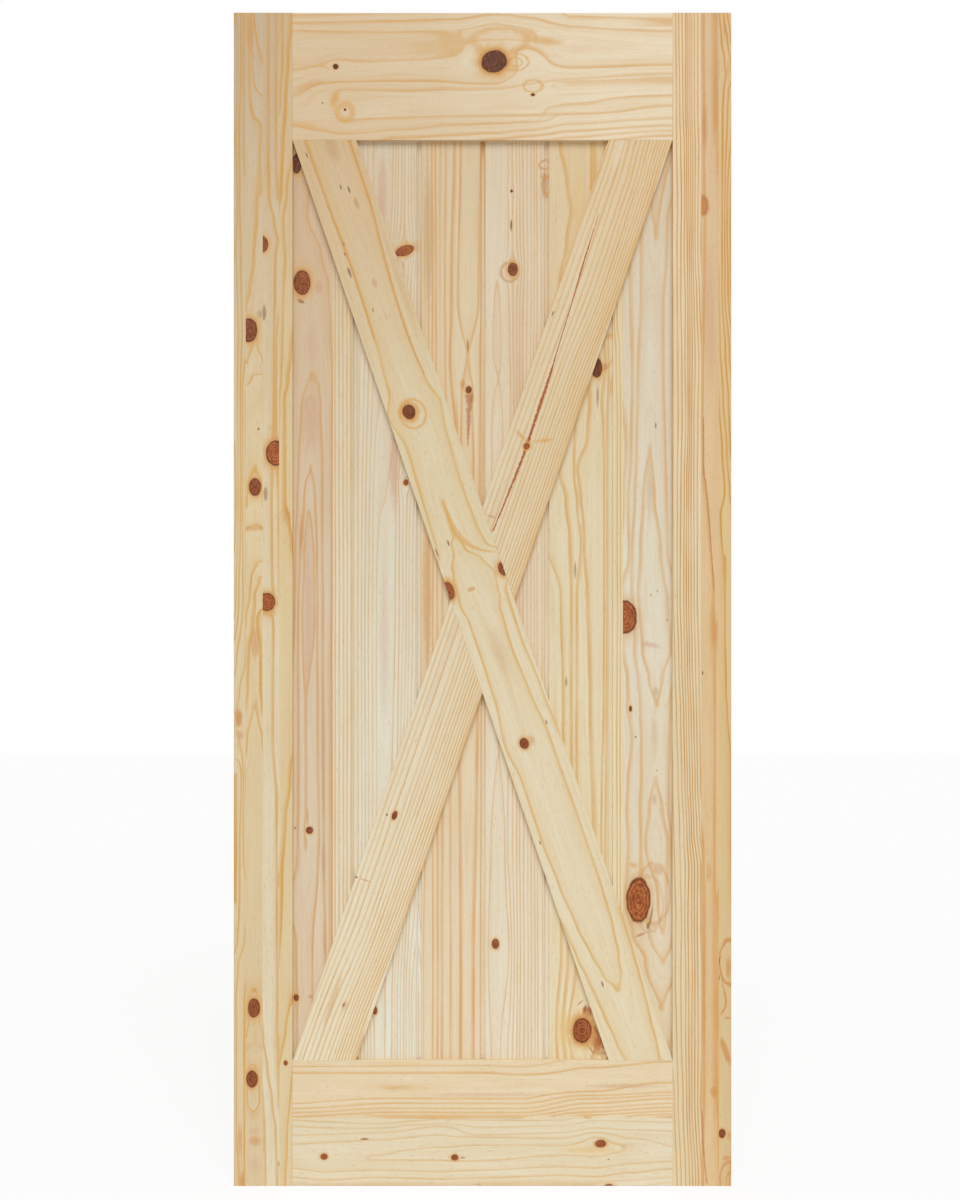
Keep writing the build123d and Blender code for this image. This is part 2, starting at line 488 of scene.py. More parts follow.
def ring_line(nodes, board, number, slope, spot):
    """How strongly the dark line shows. It builds up slowly, ends sharply and is broad on flat rings."""
    nearest = nodes.math("ROUND", number)
    steep = nodes.math("MAXIMUM", nodes.math("ABSOLUTE", slope), LEAST_SLOPE)
    distance = nodes.math("DIVIDE", nodes.minus(number, nearest), steep)
    if board.heavy:
        last = max(board.heavy) + 1
        points = [(ring / last, board.heavy.get(ring, 1.0) / WIDEST_LINE) for ring in range(last + 1)]
        width = nodes.times(nodes.curve(nodes.times(nearest, 1 / last), points), WIDEST_LINE)
        distance = nodes.math("DIVIDE", distance, width)
    rise = nodes.spread(distance, -board.soft, 0.0)
    fall = nodes.spread(distance, 0.0, board.sharp, 1.0, 0.0)
    build = nodes.times(nodes.math("POWER", nodes.math("FRACT", number), BUILD_POWER), board.build)
    line = nodes.math("MAXIMUM", nodes.times(rise, fall), build)
    apart = nodes.plus(nearest, board.seed * RING_SEED)
    chance = nodes.add("TexWhiteNoise", {"W": apart}, noise_dimensions="1D")
    strength = nodes.even(chance, 0.0, 1.0, 1 - board.uneven, 1.0)
    fading = nodes.even(pattern(nodes, board, "line fading", spot), *LINE_FADING)
    return nodes.times(line, nodes.times(strength, fading))


def faint_line(nodes, board, number, spot):
    """Weak lines between the rings, which come and go along the board."""
    third = nodes.math("PINGPONG", nodes.times_plus(number, FAINT_TO_A_RING, FAINT_TO_A_RING / 2), 0.5)
    shown = nodes.even(pattern(nodes, board, "faint patches", spot), *FAINT_PATCHES)
    return nodes.times(nodes.spread(third, *FAINT_LINES, 0.0, board.faint), shown)


def board_tone(nodes, board, spot):
    """The colour between the lines, changing slowly along the board: the wood's own tone, with painted shade
    that darkens and tans the boards towards the top of the door.
    """
    places = [(along_mm(board, place), tone(*colour)) for place, colour in board.tones]
    low, high = min(places)[0], max(places)[0]
    share = nodes.even(nodes.part(spot, "Z"), low, high)
    return nodes.colours(share, [((place - low) / (high - low), colour) for place, colour in places])


def mark_mask(nodes, board, place, mark, rough):
    """Where a mark shows, from 0 to its amount."""
    distance = nodes.times_plus(rough, mark.ragged, ellipse_distance(nodes, board, place, mark))
    if mark.hollow:
        distance = nodes.times(nodes.math("ABSOLUTE", nodes.minus(distance, 1.0)), 1 / mark.hollow)
    return nodes.spread(distance, 1 - mark.soft, 1.0, mark.amount, 0.0)


def add_marks(nodes, board, place, colour):
    """Lays the board's patches and flecks over its colour."""
    if not board.marks:
        return colour
    rough = nodes.minus(pattern(nodes, board, "mark edges", place), 0.5)
    for tint in dict.fromkeys(mark.tint for mark in board.marks):
        whole = 0.0
        for mark in board.marks:
            if mark.tint == tint:
                whole = nodes.math("MAXIMUM", whole, mark_mask(nodes, board, place, mark, rough))
        colour = nodes.mix(whole, colour, TINTS[tint])
    return colour


def add_streaks(nodes, board, spot, across, colour):
    """Lays long pitch streaks over the colour, with frayed edges."""
    for streak in board.streaks:
        points = sorted(
            (along_mm(board, a), across_mm(board, c), width * PIXEL / 2) for a, c, width in streak.points
        )
        low, high = points[0][0], points[-1][0]
        left, right = min(p[1] for p in points), max(p[1] for p in points)
        widest = max(p[2] for p in points)
        share = nodes.even(nodes.part(spot, "Z"), low, high)
        path = [((a - low) / (high - low), (c - left) / (right - left)) for a, c, _ in points]
        girth = [((a - low) / (high - low), w / widest) for a, _, w in points]
        middle = nodes.times_plus(nodes.curve(share, path), right - left, left)
        half = nodes.times_plus(nodes.curve(share, girth), widest, 0.01)
        frayed = nodes.even(pattern(nodes, board, "streak edges", spot), *STREAK_FRAY)
        away = nodes.math("ABSOLUTE", nodes.minus(across, middle))
        reach = nodes.math("DIVIDE", away, nodes.times(half, frayed))
        along = nodes.part(spot, "Z")
        start = nodes.spread(along, low, low + STREAK_END)
        end = nodes.spread(along, high - STREAK_END, high, 1.0, 0.0)
        shown = nodes.times(nodes.times(start, end), nodes.spread(reach, *STREAK_EDGE, streak.amount, 0.0))
        colour = nodes.mix(shown, colour, TINTS[streak.tint])
    return colour


def add_knots(nodes, board, place, colour):
    """Lays the knots over the colour, with their halo, rings, cracks and rim, and pale flecks that are
    partly pitch and partly painted glints of reflected light.
    """
    if not board.knots:
        return colour, 0.0
    nearest, dark, glow = BEYOND_KNOTS, 0.5, 0.5
    for knot in board.knots:
        distance = ellipse_distance(nodes, board, place, knot)
        nearer = nodes.math("LESS_THAN", distance, nearest)
        dark = nodes.add("Mix", {0: nearer, 2: dark, 3: knot.dark})
        glow = nodes.add("Mix", {0: nearer, 2: glow, 3: knot.glow})
        nearest = nodes.math("MINIMUM", distance, nearest)
    rough = nodes.minus(pattern(nodes, board, "knot edges", place), 0.5)
    edge = nodes.times_plus(rough, KNOT_RAGGED, nearest)
    swirl = nodes.times_plus(rough, HALO_RAGGED, nearest)
    colour = nodes.mix(nodes.times(nodes.spread(swirl, *AMBER_HALO), glow), colour, TINTS["amber"])
    colour = nodes.mix(nodes.times(nodes.spread(edge, *ORANGE_HALO), glow), colour, TINTS["orange"])
    loose = nodes.minus(pattern(nodes, board, "knot rings", place), 0.5)
    wave = nodes.math("SINE", nodes.times_plus(loose, KNOT_RING_BEND, nodes.times(nearest, KNOT_RING_RATE)))
    ringed = nodes.minus(1.0, nodes.times(dark, HIDDEN_RINGS))
    patchy = nodes.even(pattern(nodes, board, "knot patches", place), *KNOT_PATCHES)
    heart = nodes.mix(patchy, KNOT_TONES["heart"], KNOT_TONES["pale heart"])
    deep = nodes.mix(patchy, KNOT_TONES["black"], KNOT_TONES["pale black"])
    wood = nodes.mix(dark, heart, deep)
    rings = nodes.times(nodes.even(wave, *DARK_RINGS), ringed)
    wood = nodes.mix(rings, wood, KNOT_TONES["ring"])
    gaps = nodes.times(nodes.even(wave, *PALE_RINGS), ringed)
    wood = nodes.mix(gaps, wood, KNOT_TONES["between rings"])
    wood = nodes.mix(nodes.spread(edge, *KNOT_RIM), wood, KNOT_TONES["rim"])
    cracks = nodes.spread(pattern(nodes, board, "knot cracks", place), *KNOT_CRACKS)
    wood = nodes.mix(cracks, wood, KNOT_TONES["crack"])
    # Pale flecks, partly pitch cracks and partly painted glints of reflected light, stronger in dark knots.
    flecks_and_painted_glints = nodes.spread(pattern(nodes, board, "knot glints", place), *KNOT_FLECKS_AND_PAINTED_GLINTS)
    flecks_and_painted_glints = nodes.times(flecks_and_painted_glints, nodes.even(dark, *FLECKS_AND_PAINTED_GLINTS_IN_DARK))
    wood = nodes.mix(flecks_and_painted_glints, wood, KNOT_TONES["fleck_and_painted_glint"])
    mask = nodes.spread(edge, *KNOT_EDGE)
    return nodes.mix(mask, colour, wood), mask


def pine(name, board):
    """The finished material of one board."""
    material = bpy.data.materials.new(name + "_pine")
    material.use_nodes = True
    tree = material.node_tree
    tree.nodes.clear()
    nodes = Nodes(tree)
    point = nodes.add("TexCoord", {}, out="Object")
    place = nodes.vector("MULTIPLY", point, (TO_MM, TO_MM, TO_MM))
    spot = board_spot(nodes, board, place)
    along = nodes.part(spot, "Z")
    across = grain_across(nodes, board, spot)
    number = ring_number(nodes, board, across, along)
    beside = ring_number(nodes, board, nodes.plus(across, SLOPE_STEP), along)
    slope = nodes.times(nodes.minus(beside, number), 1 / SLOPE_STEP)
    line = ring_line(nodes, board, number, slope, spot)
    if board.faint:
        line = nodes.math("MAXIMUM", line, faint_line(nodes, board, number, spot))

    grain_spot = nodes.join(across, nodes.part(spot, "Y"), along)
    fibre = pattern(nodes, board, "fibres", grain_spot)
    streak = pattern(nodes, board, "long shades", grain_spot)
    cloud = pattern(nodes, board, "clouds", spot)
    light = nodes.even(cloud, *CLOUD_SHADE)
    light = nodes.times(light, nodes.even(streak, *LONG_SHADE))
    light = nodes.times(light, nodes.even(fibre, *FIBRE_SHADE))
    warm = nodes.math("POWER", light, SHADE_GREEN)
    warmer = nodes.math("POWER", light, SHADE_BLUE)

    # The board's tone carries painted shade: darker and tanner towards the top of the door.
    colour = board_tone(nodes, board, spot)
    colour = nodes.mix(1.0, colour, nodes.join(light, warm, warmer), "MULTIPLY")
    colour = nodes.mix(nodes.times(line, board.contrast), colour, tone(*board.line))
    canal = nodes.spread(pattern(nodes, board, "resin canals", grain_spot), *RESIN_CANALS)
    colour = nodes.mix(nodes.times(canal, board.speckle), colour, TINTS["fleck"])
    colour = add_marks(nodes, board, place, colour)
    colour = add_streaks(nodes, board, spot, across, colour)
    colour, knot = add_knots(nodes, board, place, colour)

    height = nodes.times_plus(line, LINE_SINK, fibre)
    height = nodes.times_plus(knot, KNOT_RISE, height)
    bump = nodes.add("Bump", {"Height": height, "Strength": BUMP_STRENGTH, "Distance": BUMP_DEPTH})
    roughness = nodes.times_plus(line, LINE_POLISH, nodes.even(fibre, *FIBRE_ROUGHNESS))
    roughness = nodes.times_plus(knot, KNOT_POLISH, roughness)
    shader = tree.nodes.new("ShaderNodeBsdfPrincipled")
    shader.inputs["IOR"].default_value = WOOD_IOR
    shader.inputs["Specular IOR Level"].default_value = WOOD_SHINE
    nodes.feed(shader.inputs["Base Color"], colour)
    nodes.feed(shader.inputs["Roughness"], roughness)
    nodes.feed(shader.inputs["Normal"], bump)
    output = tree.nodes.new("ShaderNodeOutputMaterial")
    tree.links.new(shader.outputs[0], output.inputs["Surface"])
    return material


# Each board's tones hold its own colour and painted shade, darker and tanner towards the top of the door and
# most at the top left.
BOARDS = {}

BOARDS["left_stile_strip_1"] = Board(
    grain="up",
    tones=[(13, (198, 176, 146)), (500, (223, 205, 167)), (1186, (222, 197, 156))],
    line=(210, 152, 52),
    sections=[
        (20, count(235, 237.4, 241, 244, 247)),
        (60, count(233.5, 237.4, 241, 243.7, 248)),
        (140, [(235.5, 2), (239.6, 3), (243.7, 4), (248, 5)]),
        (200, [(233.5, 1.5), (237.8, 2), (240.2, 3), (246, 3.6)]),
        (250, [(236, 2), (241.5, 3), (247, 3.7)]),
        (335, [(235, 1.5), (238.7, 2), (242.5, 3), (246, 3.5)]),
        (400, [(234.5, 1.4), (237.8, 2), (240.7, 3), (242.8, 4), (247, 5)]),
        (500, [(234, 0.4), (236.3, 1), (238.5, 2), (240.9, 3), (242.8, 4), (247, 5)]),
        (600, [(234, 1.6), (236, 2), (239, 3), (243, 4), (247, 5)]),
        (660, [(234, 3.5), (237, 4), (246, 5), (250, 5.5)]),
        (690, [(234, 4.4), (240, 5), (247, 5.5)]),
        (718, [(234, 5.05), (240, 5.3), (247, 5.6)]),
        (745, [(234, 4.7), (240, 5), (247, 5.4)]),
        (775, [(235.9, 3), (241.3, 4), (243.5, 5), (247, 6)]),
        (850, [(235.9, 3), (239.8, 4), (243.5, 5), (247, 5.6)]),
        (900, [(235.4, 3), (239.8, 4), (246, 4.6)]),
        (940, [(234.5, 3.6), (238, 4), (245, 5), (248, 5.4)]),
        (965, [(234, 4.3), (239, 5), (246, 5.7)]),
        (1000, [(234, 4.8), (238, 5.2), (244.8, 6), (248, 6.5)]),
        (1140, [(234, 4.8), (236.8, 5), (241.5, 5.05), (244.8, 6), (248, 6.6)]),
        (1186, [(234, 4.7), (239.5, 5), (243, 5.05), (244.8, 6), (248, 6.4)]),
    ],
    soft=4.4,
    sharp=1.7,
    marks=[
        Mark(238.5, 718, 10, 24, amount=0.8),
        Mark(240, 735, 10, 12, amount=0.45),
        Mark(239.5, 1140, 7, 44, amount=0.5, soft=0.8),
        Mark(242, 1182, 8, 30, amount=0.7, soft=0.8),
    ],
    contrast=0.9,
    seed=1.0,
)
BOARDS["left_stile_strip_2"] = Board(
    grain="up",
    tones=[(13, (202, 181, 152)), (500, (226, 205, 163)), (1186, (218, 195, 156))],
    line=(211, 154, 54),
    sections=[
        (13, [(246, 0.6), (248, 1), (251, 2), (254.5, 3), (262, 3.6)]),
        (60, [(246, 0.8), (249, 1), (252.5, 2), (256, 2.6), (263, 3)]),
        (130, [(246, 0.4), (253, 0.8), (261, 1), (264, 1.2)]),
        (158, [(246, 0.3), (260, 1), (264, 1.3)]),
        (190, [(246, 0.3), (257, 0.96), (262, 1.03), (264, 1.3)]),
        (215, [(246, 0.4), (257, 1), (264, 1.5)]),
        (260, [(246, 0.5), (254, 1), (264, 1.8)]),
        (290, [(246, 0.8), (250, 1), (258, 1.5), (264, 1.8)]),
        (308, [(246, 1), (255, 1.5), (264, 1.7)]),
        (345, [(246, 1.5), (252, 2), (254, 2.2), (256, 2), (264, 1.6)]),
        (363, [(246.5, 2), (254, 2.5), (262, 2), (264, 1.8)]),
        (378, [(246, 2.8), (252, 3), (264, 3.15)]),
        (395, [(246, 3.2), (255, 3.3), (264, 3.4)]),
        (430, [(246, 3.4), (264, 3.6)]),
        (470, [(246, 3.8), (255, 4), (264, 3.8)]),
        (506, [(246.5, 4), (255, 4.6), (263, 4)]),
        (528, [(246, 4.98), (255, 5.03), (264, 4.98)]),
        (545, [(246, 5.3), (255, 5.5), (264, 5.3)]),
        (565, [(246, 5.6), (257, 6), (263, 6.05)]),
        (580, [(246, 5.6), (251.5, 6), (257, 6.6), (260, 7), (264, 7.2)]),
        (595, [(246, 5.6), (250, 6), (255.5, 7), (264, 7.5)]),
        (622, [(246, 6), (255, 7.03), (264, 6.5)]),
        (650, [(246, 6.4), (249.5, 7), (255, 7.2), (260, 7), (264, 6.6)]),
        (690, [(246, 6.6), (248, 7), (255, 7.8), (260.5, 7), (264, 6.6)]),
        (706, [(246, 7), (255, 8), (262, 7), (264, 6.7)]),
        (738, [(246, 7.8), (247.5, 8), (255, 8.5), (262, 8), (264, 7.8)]),
        (780, [(246, 8.3), (255, 8.6), (264, 8.4)]),
        (970, [(246, 8.4), (255, 8.6), (264, 8.4)]),
        (990, [(246, 8.9), (254, 9), (264, 8.9)]),
        (1020, [(246, 8.8), (250, 9), (254, 9.3), (258, 9), (264, 8.7)]),
        (1038, [(246.5, 9), (254, 9.8), (263, 9)]),
        (1046, [(246, 9.8), (254, 10.02), (264, 9.8)]),
        (1066, [(246, 10.8), (252, 11.02), (264, 10.8)]),
        (1100, [(246, 10.8), (247.4, 11), (253, 11.4), (259.3, 11), (264, 10.6)]),
        (1112, [(246, 10.8), (253, 11), (264, 10.6)]),
        (1130, [(246, 10.5), (264, 10.4)]),
        (1186, [(246, 10.4), (264, 10.8)]),
    ],
    heavy={1: 1.8, 7: 1.5},
    uneven=0.15,
    knots=[
        Knot(249, 330, 16.5, 24, dark=0.5, push=0.4),
        Knot(255, 487, 12, 18, dark=0.4, push=0.4),
        Knot(254, 1008, 12, 19, dark=0.35, push=0.4),
        Knot(252, 1079, 12, 16.5, dark=0.4, push=0.4),
    ],
    marks=[
        Mark(251, 32, 10, 50, amount=0.45, soft=0.9),
        Mark(255, 643, 11, 40, amount=0.5, soft=0.5),
        Mark(255, 528, 22, 9, amount=0.5, soft=0.9),
        Mark(255, 1141, 17, 14, amount=0.55, soft=0.7),
        Mark(260, 314, 9, 13, tint="bark", amount=0.5, soft=0.8),
        Mark(255, 1131, 16, 12, tint="pink", amount=0.4, soft=0.9),
        Mark(255, 1165, 17, 30, tint="pink", amount=0.3, soft=0.9),
        Mark(258.5, 429, 3, 4, tint="brown", amount=0.7),
    ],
    soft=5.0,
    sharp=2.4,
    faint=0.2,
    seed=2.0,
)
BOARDS["left_stile_strip_3"] = Board(
    grain="up",
    tones=[(13, (202, 177, 144)), (500, (225, 207, 171)), (1186, (225, 214, 184))],
    line=(210, 152, 54),
    sections=[
        (13, [(262, 2.3), (269, 3), (276.5, 4), (281, 4.6)]),
        (140, [(262, 2.3), (269, 3), (276.5, 4), (281, 4.6)]),
        (195, [(262, 2.4), (270, 3), (279.5, 4)]),
        (220, [(262, 2.5), (274.8, 3), (281, 3.7)]),
        (240, [(262, 2.5), (278, 3), (282, 3.6)]),
        (260, [(262, 2.5), (276, 3), (281, 3.7)]),
        (300, [(262, 2.4), (275.4, 3), (281, 3.8)]),
        (340, [(262, 2.3), (274.3, 3), (276.6, 4), (281, 4.5)]),
        (420, [(262, 2.3), (274.3, 3), (276.6, 4), (281, 4.5)]),
        (510, [(262, 2.5), (270, 2.8), (278.7, 4), (281, 4.4)]),
        (585, [(262, 2.5), (270, 2.8), (278.7, 4), (281, 4.4)]),
        (614, [(262, 2.96), (272, 3.02), (281, 3.6)]),
        (630, [(262, 2.4), (273.3, 3), (281, 3.5)]),
        (740, [(262, 2.3), (273.3, 3), (281, 3.5)]),
        (800, [(262, 2.3), (277.2, 3), (281, 3.4)]),
        (885, [(262, 2.2), (279.3, 3)]),
        (900, [(262, 2.2), (277.4, 3), (281, 3.4)]),
        (1000, [(262, 2.1), (277.4, 3), (281, 3.4)]),
        (1040, [(262, 1.9), (263.5, 2), (278.5, 3)]),
        (1070, [(262, 1.4), (268, 2), (280, 3)]),
        (1100, [(262, 0.8), (264, 1.1), (272.4, 2), (281, 3)]),
        (1130, [(262, 0.4), (264.8, 1), (276, 2), (281, 2.6)]),
        (1186, [(262, 0.4), (265.9, 1), (277.4, 2), (281, 2.5)]),
    ],
    heavy={1: 1.4, 3: 1.2},
    uneven=0.15,
    knots=[
        Knot(262.5, 244, 11, 16, dark=0.2, push=0.3),
        Knot(275.5, 453, 19, 26, dark=0.0, push=0.4),
        Knot(266.5, 602, 18, 18, dark=0.0, push=0.4),
    ],
    marks=[
        Mark(273, 428, 14, 10, tint="amber", amount=0.6, soft=0.9),
        Mark(279, 1164, 2, 8, tint="brown", amount=0.7),
        Mark(264, 313, 6, 18, tint="bark", amount=0.8, soft=0.4),
        Mark(265.5, 494, 5, 19, tint="bark", amount=0.7, soft=0.5),
    ],
    faint=0.2,
    seed=3.0,
)
BOARDS["left_stile_strip_4"] = Board(
    grain="up",
    tones=[(13, (209, 182, 141)), (500, (224, 201, 156)), (1186, (222, 200, 157))],
    line=(210, 150, 46),
    sections=[
        (13, [(279, 0.4), (283, 1), (291.7, 2), (294, 2.6)]),
        (60, [(279, 0.4), (283, 1), (289, 2), (294, 2.6)]),
        (100, [(279, 0.9), (280.5, 1), (286.5, 2), (294, 2.7)]),
        (140, [(279, 1.3), (284, 2), (294, 2.8)]),
        (190, [(279, 1.7), (281.8, 2), (287.8, 3), (294, 3.5)]),
        (220, [(279, 2.2), (284, 3), (294, 3.6)]),
        (260, [(279, 2.2), (285.7, 3), (294, 3.6)]),
        (300, [(279, 2.3), (284, 3), (294, 3.6)]),
        (350, [(279, 2.8), (282.5, 3), (291.7, 4), (294, 4.3)]),
        (380, [(279, 2.9), (281.5, 3), (288.5, 4), (294, 4.6)]),
        (400, [(279, 3), (280, 3.05), (285.2, 4), (294, 4.7)]),
        (500, [(279, 3.2), (285.7, 4), (294, 4.5)]),
        (520, [(279, 3.4), (289.6, 4), (294, 4.3)]),
        (540, [(279, 3.3), (292, 4), (294, 4.1)]),
        (600, [(279, 3.2), (294, 3.7)]),
        (740, [(279, 3.2), (293, 3.9)]),
        (780, [(279, 3.3), (290.7, 4), (294, 4.2)]),
        (820, [(279, 3.4), (286, 4), (294, 4.4)]),
        (880, [(279, 3.6), (282.5, 4), (294, 4.5)]),
        (960, [(279, 4), (294, 4.5)]),
        (1000, [(279, 4.2), (293, 5)]),
        (1030, [(279, 4.5), (286.5, 5), (294, 5.4)]),
        (1052, [(279, 4.7), (283.3, 5), (294, 5.7)]),
        (1080, [(279, 5.1), (291.7, 6), (294, 6.2)]),
        (1140, [(279, 5.3), (287.6, 6), (294, 6.4)]),
        (1186, [(279, 5.4), (285.4, 6), (294, 6.5)]),
    ],
    heavy={2: 1.5, 4: 1.3},
    uneven=0.15,
    knots=[Knot(285.6, 1063, 4, 5, dark=0.3)],
    marks=[Mark(286, 515, 14, 26, amount=0.5, soft=0.9)],
    seed=4.0,
)
BOARDS["right_stile_strip_1"] = Board(
    grain="up",
    tones=[(13, (225, 194, 146)), (500, (223, 195, 142)), (1186, (217, 192, 146))],
    line=(208, 140, 40),
    sections=[
        (13, [(718, 2.5), (720, 3), (724, 4), (728, 5), (732, 5.5)]),
        (40, [(718, 2.2), (722, 3), (728, 4), (732, 5)]),
        (60, [(718, 2), (725, 3), (731, 4), (733, 4.3)]),
        (76, [(718, 2), (726, 3), (733, 4)]),
        (92, [(718, 2.1), (724, 3), (729, 4), (733, 4.6)]),
        (112, [(718, 2.2), (723, 3), (728, 4), (733, 5)]),
        (210, [(718, 2.4), (722.6, 3), (725.2, 4), (727.6, 5), (730.6, 6), (733, 6.5)]),
        (290, [(718, 1.9), (722.6, 3), (725.4, 4), (728.5, 5), (732, 6)]),
        (350, [(718, 1.6), (721, 2), (726, 3), (730, 4), (733, 4.6)]),
        (400, [(718, 0.9), (720, 1.1), (724, 2), (729, 3), (733, 3.8)]),
        (450, [(718, 0.5), (722.6, 1), (727, 2), (731.5, 3)]),
        (490, [(718, 0.3), (725, 1), (730, 2), (733, 2.6)]),
        (515, [(718, 0.6), (721, 1), (727, 1.5), (733, 2)]),
        (560, [(718, 0.75), (723, 0.98), (726, 1.02), (733, 1.8)]),
        (630, [(717, 0.5), (725.3, 1), (733, 1.5)]),
        (690, [(717, 0.45), (726.2, 1), (733, 1.4)]),
        (715, [(717, 0.4), (727.6, 1), (733, 1.3)]),
        (755, [(717, 0.3), (730.5, 1), (733, 1.2)]),
        (890, [(717, 0.3), (731.8, 1), (733, 1.1)]),
        (925, [(717, 0.3), (733, 0.8)]),
        (1100, [(717, 0.3), (733, 0.8)]),
        (1186, [(717, 0.3), (724, 0.85), (729, 1), (733, 1.2)]),
    ],
    soft=4.4,
    sharp=1.7,
    uneven=0.15,
    knots=[Knot(722, 1133.5, 7, 9, dark=0.45)],
    marks=[
        *alike((725, 30, 7, 34), (728, 72, 5, 30), tint="rust", amount=0.22, soft=0.9),
        Mark(730, 962, 21, 45, amount=0.85, soft=0.9, hollow=0.16, ragged=0.3),
        Mark(728.5, 968, 7, 27, amount=0.6, soft=0.5),
        Mark(728, 1018, 13, 3.5, turn=6, amount=0.75, soft=0.8),
        Mark(725.5, 1051, 8, 38, turn=-18, amount=0.75, soft=0.5),
        *alike((729.5, 1136, 6, 14), (727, 1158, 12, 7), amount=0.6, soft=0.8),
        Mark(729, 1180, 18, 36, amount=0.7, soft=0.9, hollow=0.2, ragged=0.3),
        Mark(730, 1182, 8, 18, amount=0.5, soft=0.9, hollow=0.3, ragged=0.3),
        *alike((719.3, 961, 1.4, 9), (719.3, 978, 1.4, 7), tint="red", amount=0.8),
    ],
    streaks=[
        Streak([(981, 721.5, 1.8), (993, 724.5, 2), (1003, 726, 2.6), (1010, 723.5, 2.6),
                (1017, 718.5, 1.8)], tint="orange", amount=0.75),
    ],
    contrast=0.95,
    seed=5.0,
)
BOARDS["right_stile_strip_2"] = Board(
    grain="up",
    tones=[(13, (224, 193, 153)), (500, (225, 193, 146)), (1186, (223, 192, 145))],
    line=(208, 142, 54),
    sections=[
        (13, [(701, 1.5), (704.3, 2), (709, 2.5), (714, 2.97), (717, 3.03), (720, 3.6)]),
        (120, [(701, 1.6), (704.5, 2), (709, 2.5), (714, 2.98), (717.5, 3.02), (720, 3.5)]),
        (160, [(701, 1.6), (704.5, 2), (711, 2.5), (719, 3)]),
        (225, [(701, 1.7), (710, 2.3), (719, 2.8)]),
        (410, [(701, 1.8), (703, 2), (710, 2.4), (719, 2.8)]),
        (470, [(701, 1.7), (703.8, 2), (719, 2.8)]),
        (520, [(701, 1.4), (709, 2), (719, 2.7)]),
        (590, [(701, 1.2), (714, 2), (719, 2.4)]),
        (630, [(701, 1.2), (708, 1.5), (712, 1.97), (717, 2.03), (720, 2.4)]),
        (700, [(701, 1.3), (709, 1.6), (715, 2), (720, 2.5)]),
        (760, [(701, 1.1), (709, 1.6), (715, 2), (720, 2.5)]),
        (860, [(701, 0.95), (704, 1.02), (710, 1.5), (715, 2), (720, 2.6)]),
        (900, [(701, 0.95), (705.5, 1.05), (710, 1.5), (715, 1.98), (718, 2.03), (720, 2.5)]),
        (1080, [(701, 0.95), (705.5, 1.05), (710, 1.5), (715, 1.98), (718, 2.03), (720, 2.5)]),
        (1186, [(701, 0.8), (704, 1.05), (710, 1.4), (716, 1.8), (720, 2)]),
    ],
    heavy={1: 1.2, 2: 1.2, 3: 1.2},
    uneven=0.1,
    marks=[
        Mark(702, 205.5, 18, 27, tint="rust", amount=0.75, soft=0.5, ragged=0.3),
        Mark(705, 126, 8, 70, tint="rust", amount=0.3, soft=0.9),
        Mark(702, 205.5, 13, 21, tint="orange", amount=0.8, soft=0.5, ragged=0.3),
        *alike((715.5, 90, 7, 160), (709, 872, 7, 28), amount=0.45, soft=0.8),
        Mark(714.5, 628, 9, 56, amount=0.4, soft=0.8),
        Mark(714, 1092, 10, 15, amount=0.6, soft=0.6),
        Mark(704, 985, 7, 190, amount=0.35, soft=0.8),
        Mark(710, 320, 16, 210, tint="pink", amount=0.35, soft=0.8),
        Mark(702.6, 673, 1.8, 6, tint="brown", amount=0.8),
    ],
    streaks=[
        Streak([(415, 703.4, 1.6), (470, 703.8, 2.2), (484, 706, 2), (520, 709, 1.8), (560, 712, 1.4),
                (592, 714, 1)], tint="rust", amount=0.45),
        Streak([(1108, 701.8, 1), (1125, 702.4, 2), (1140, 703, 2), (1186, 707, 2)], tint="rust",
               amount=0.45),
    ],
    contrast=0.66,
    seed=6.0,
)
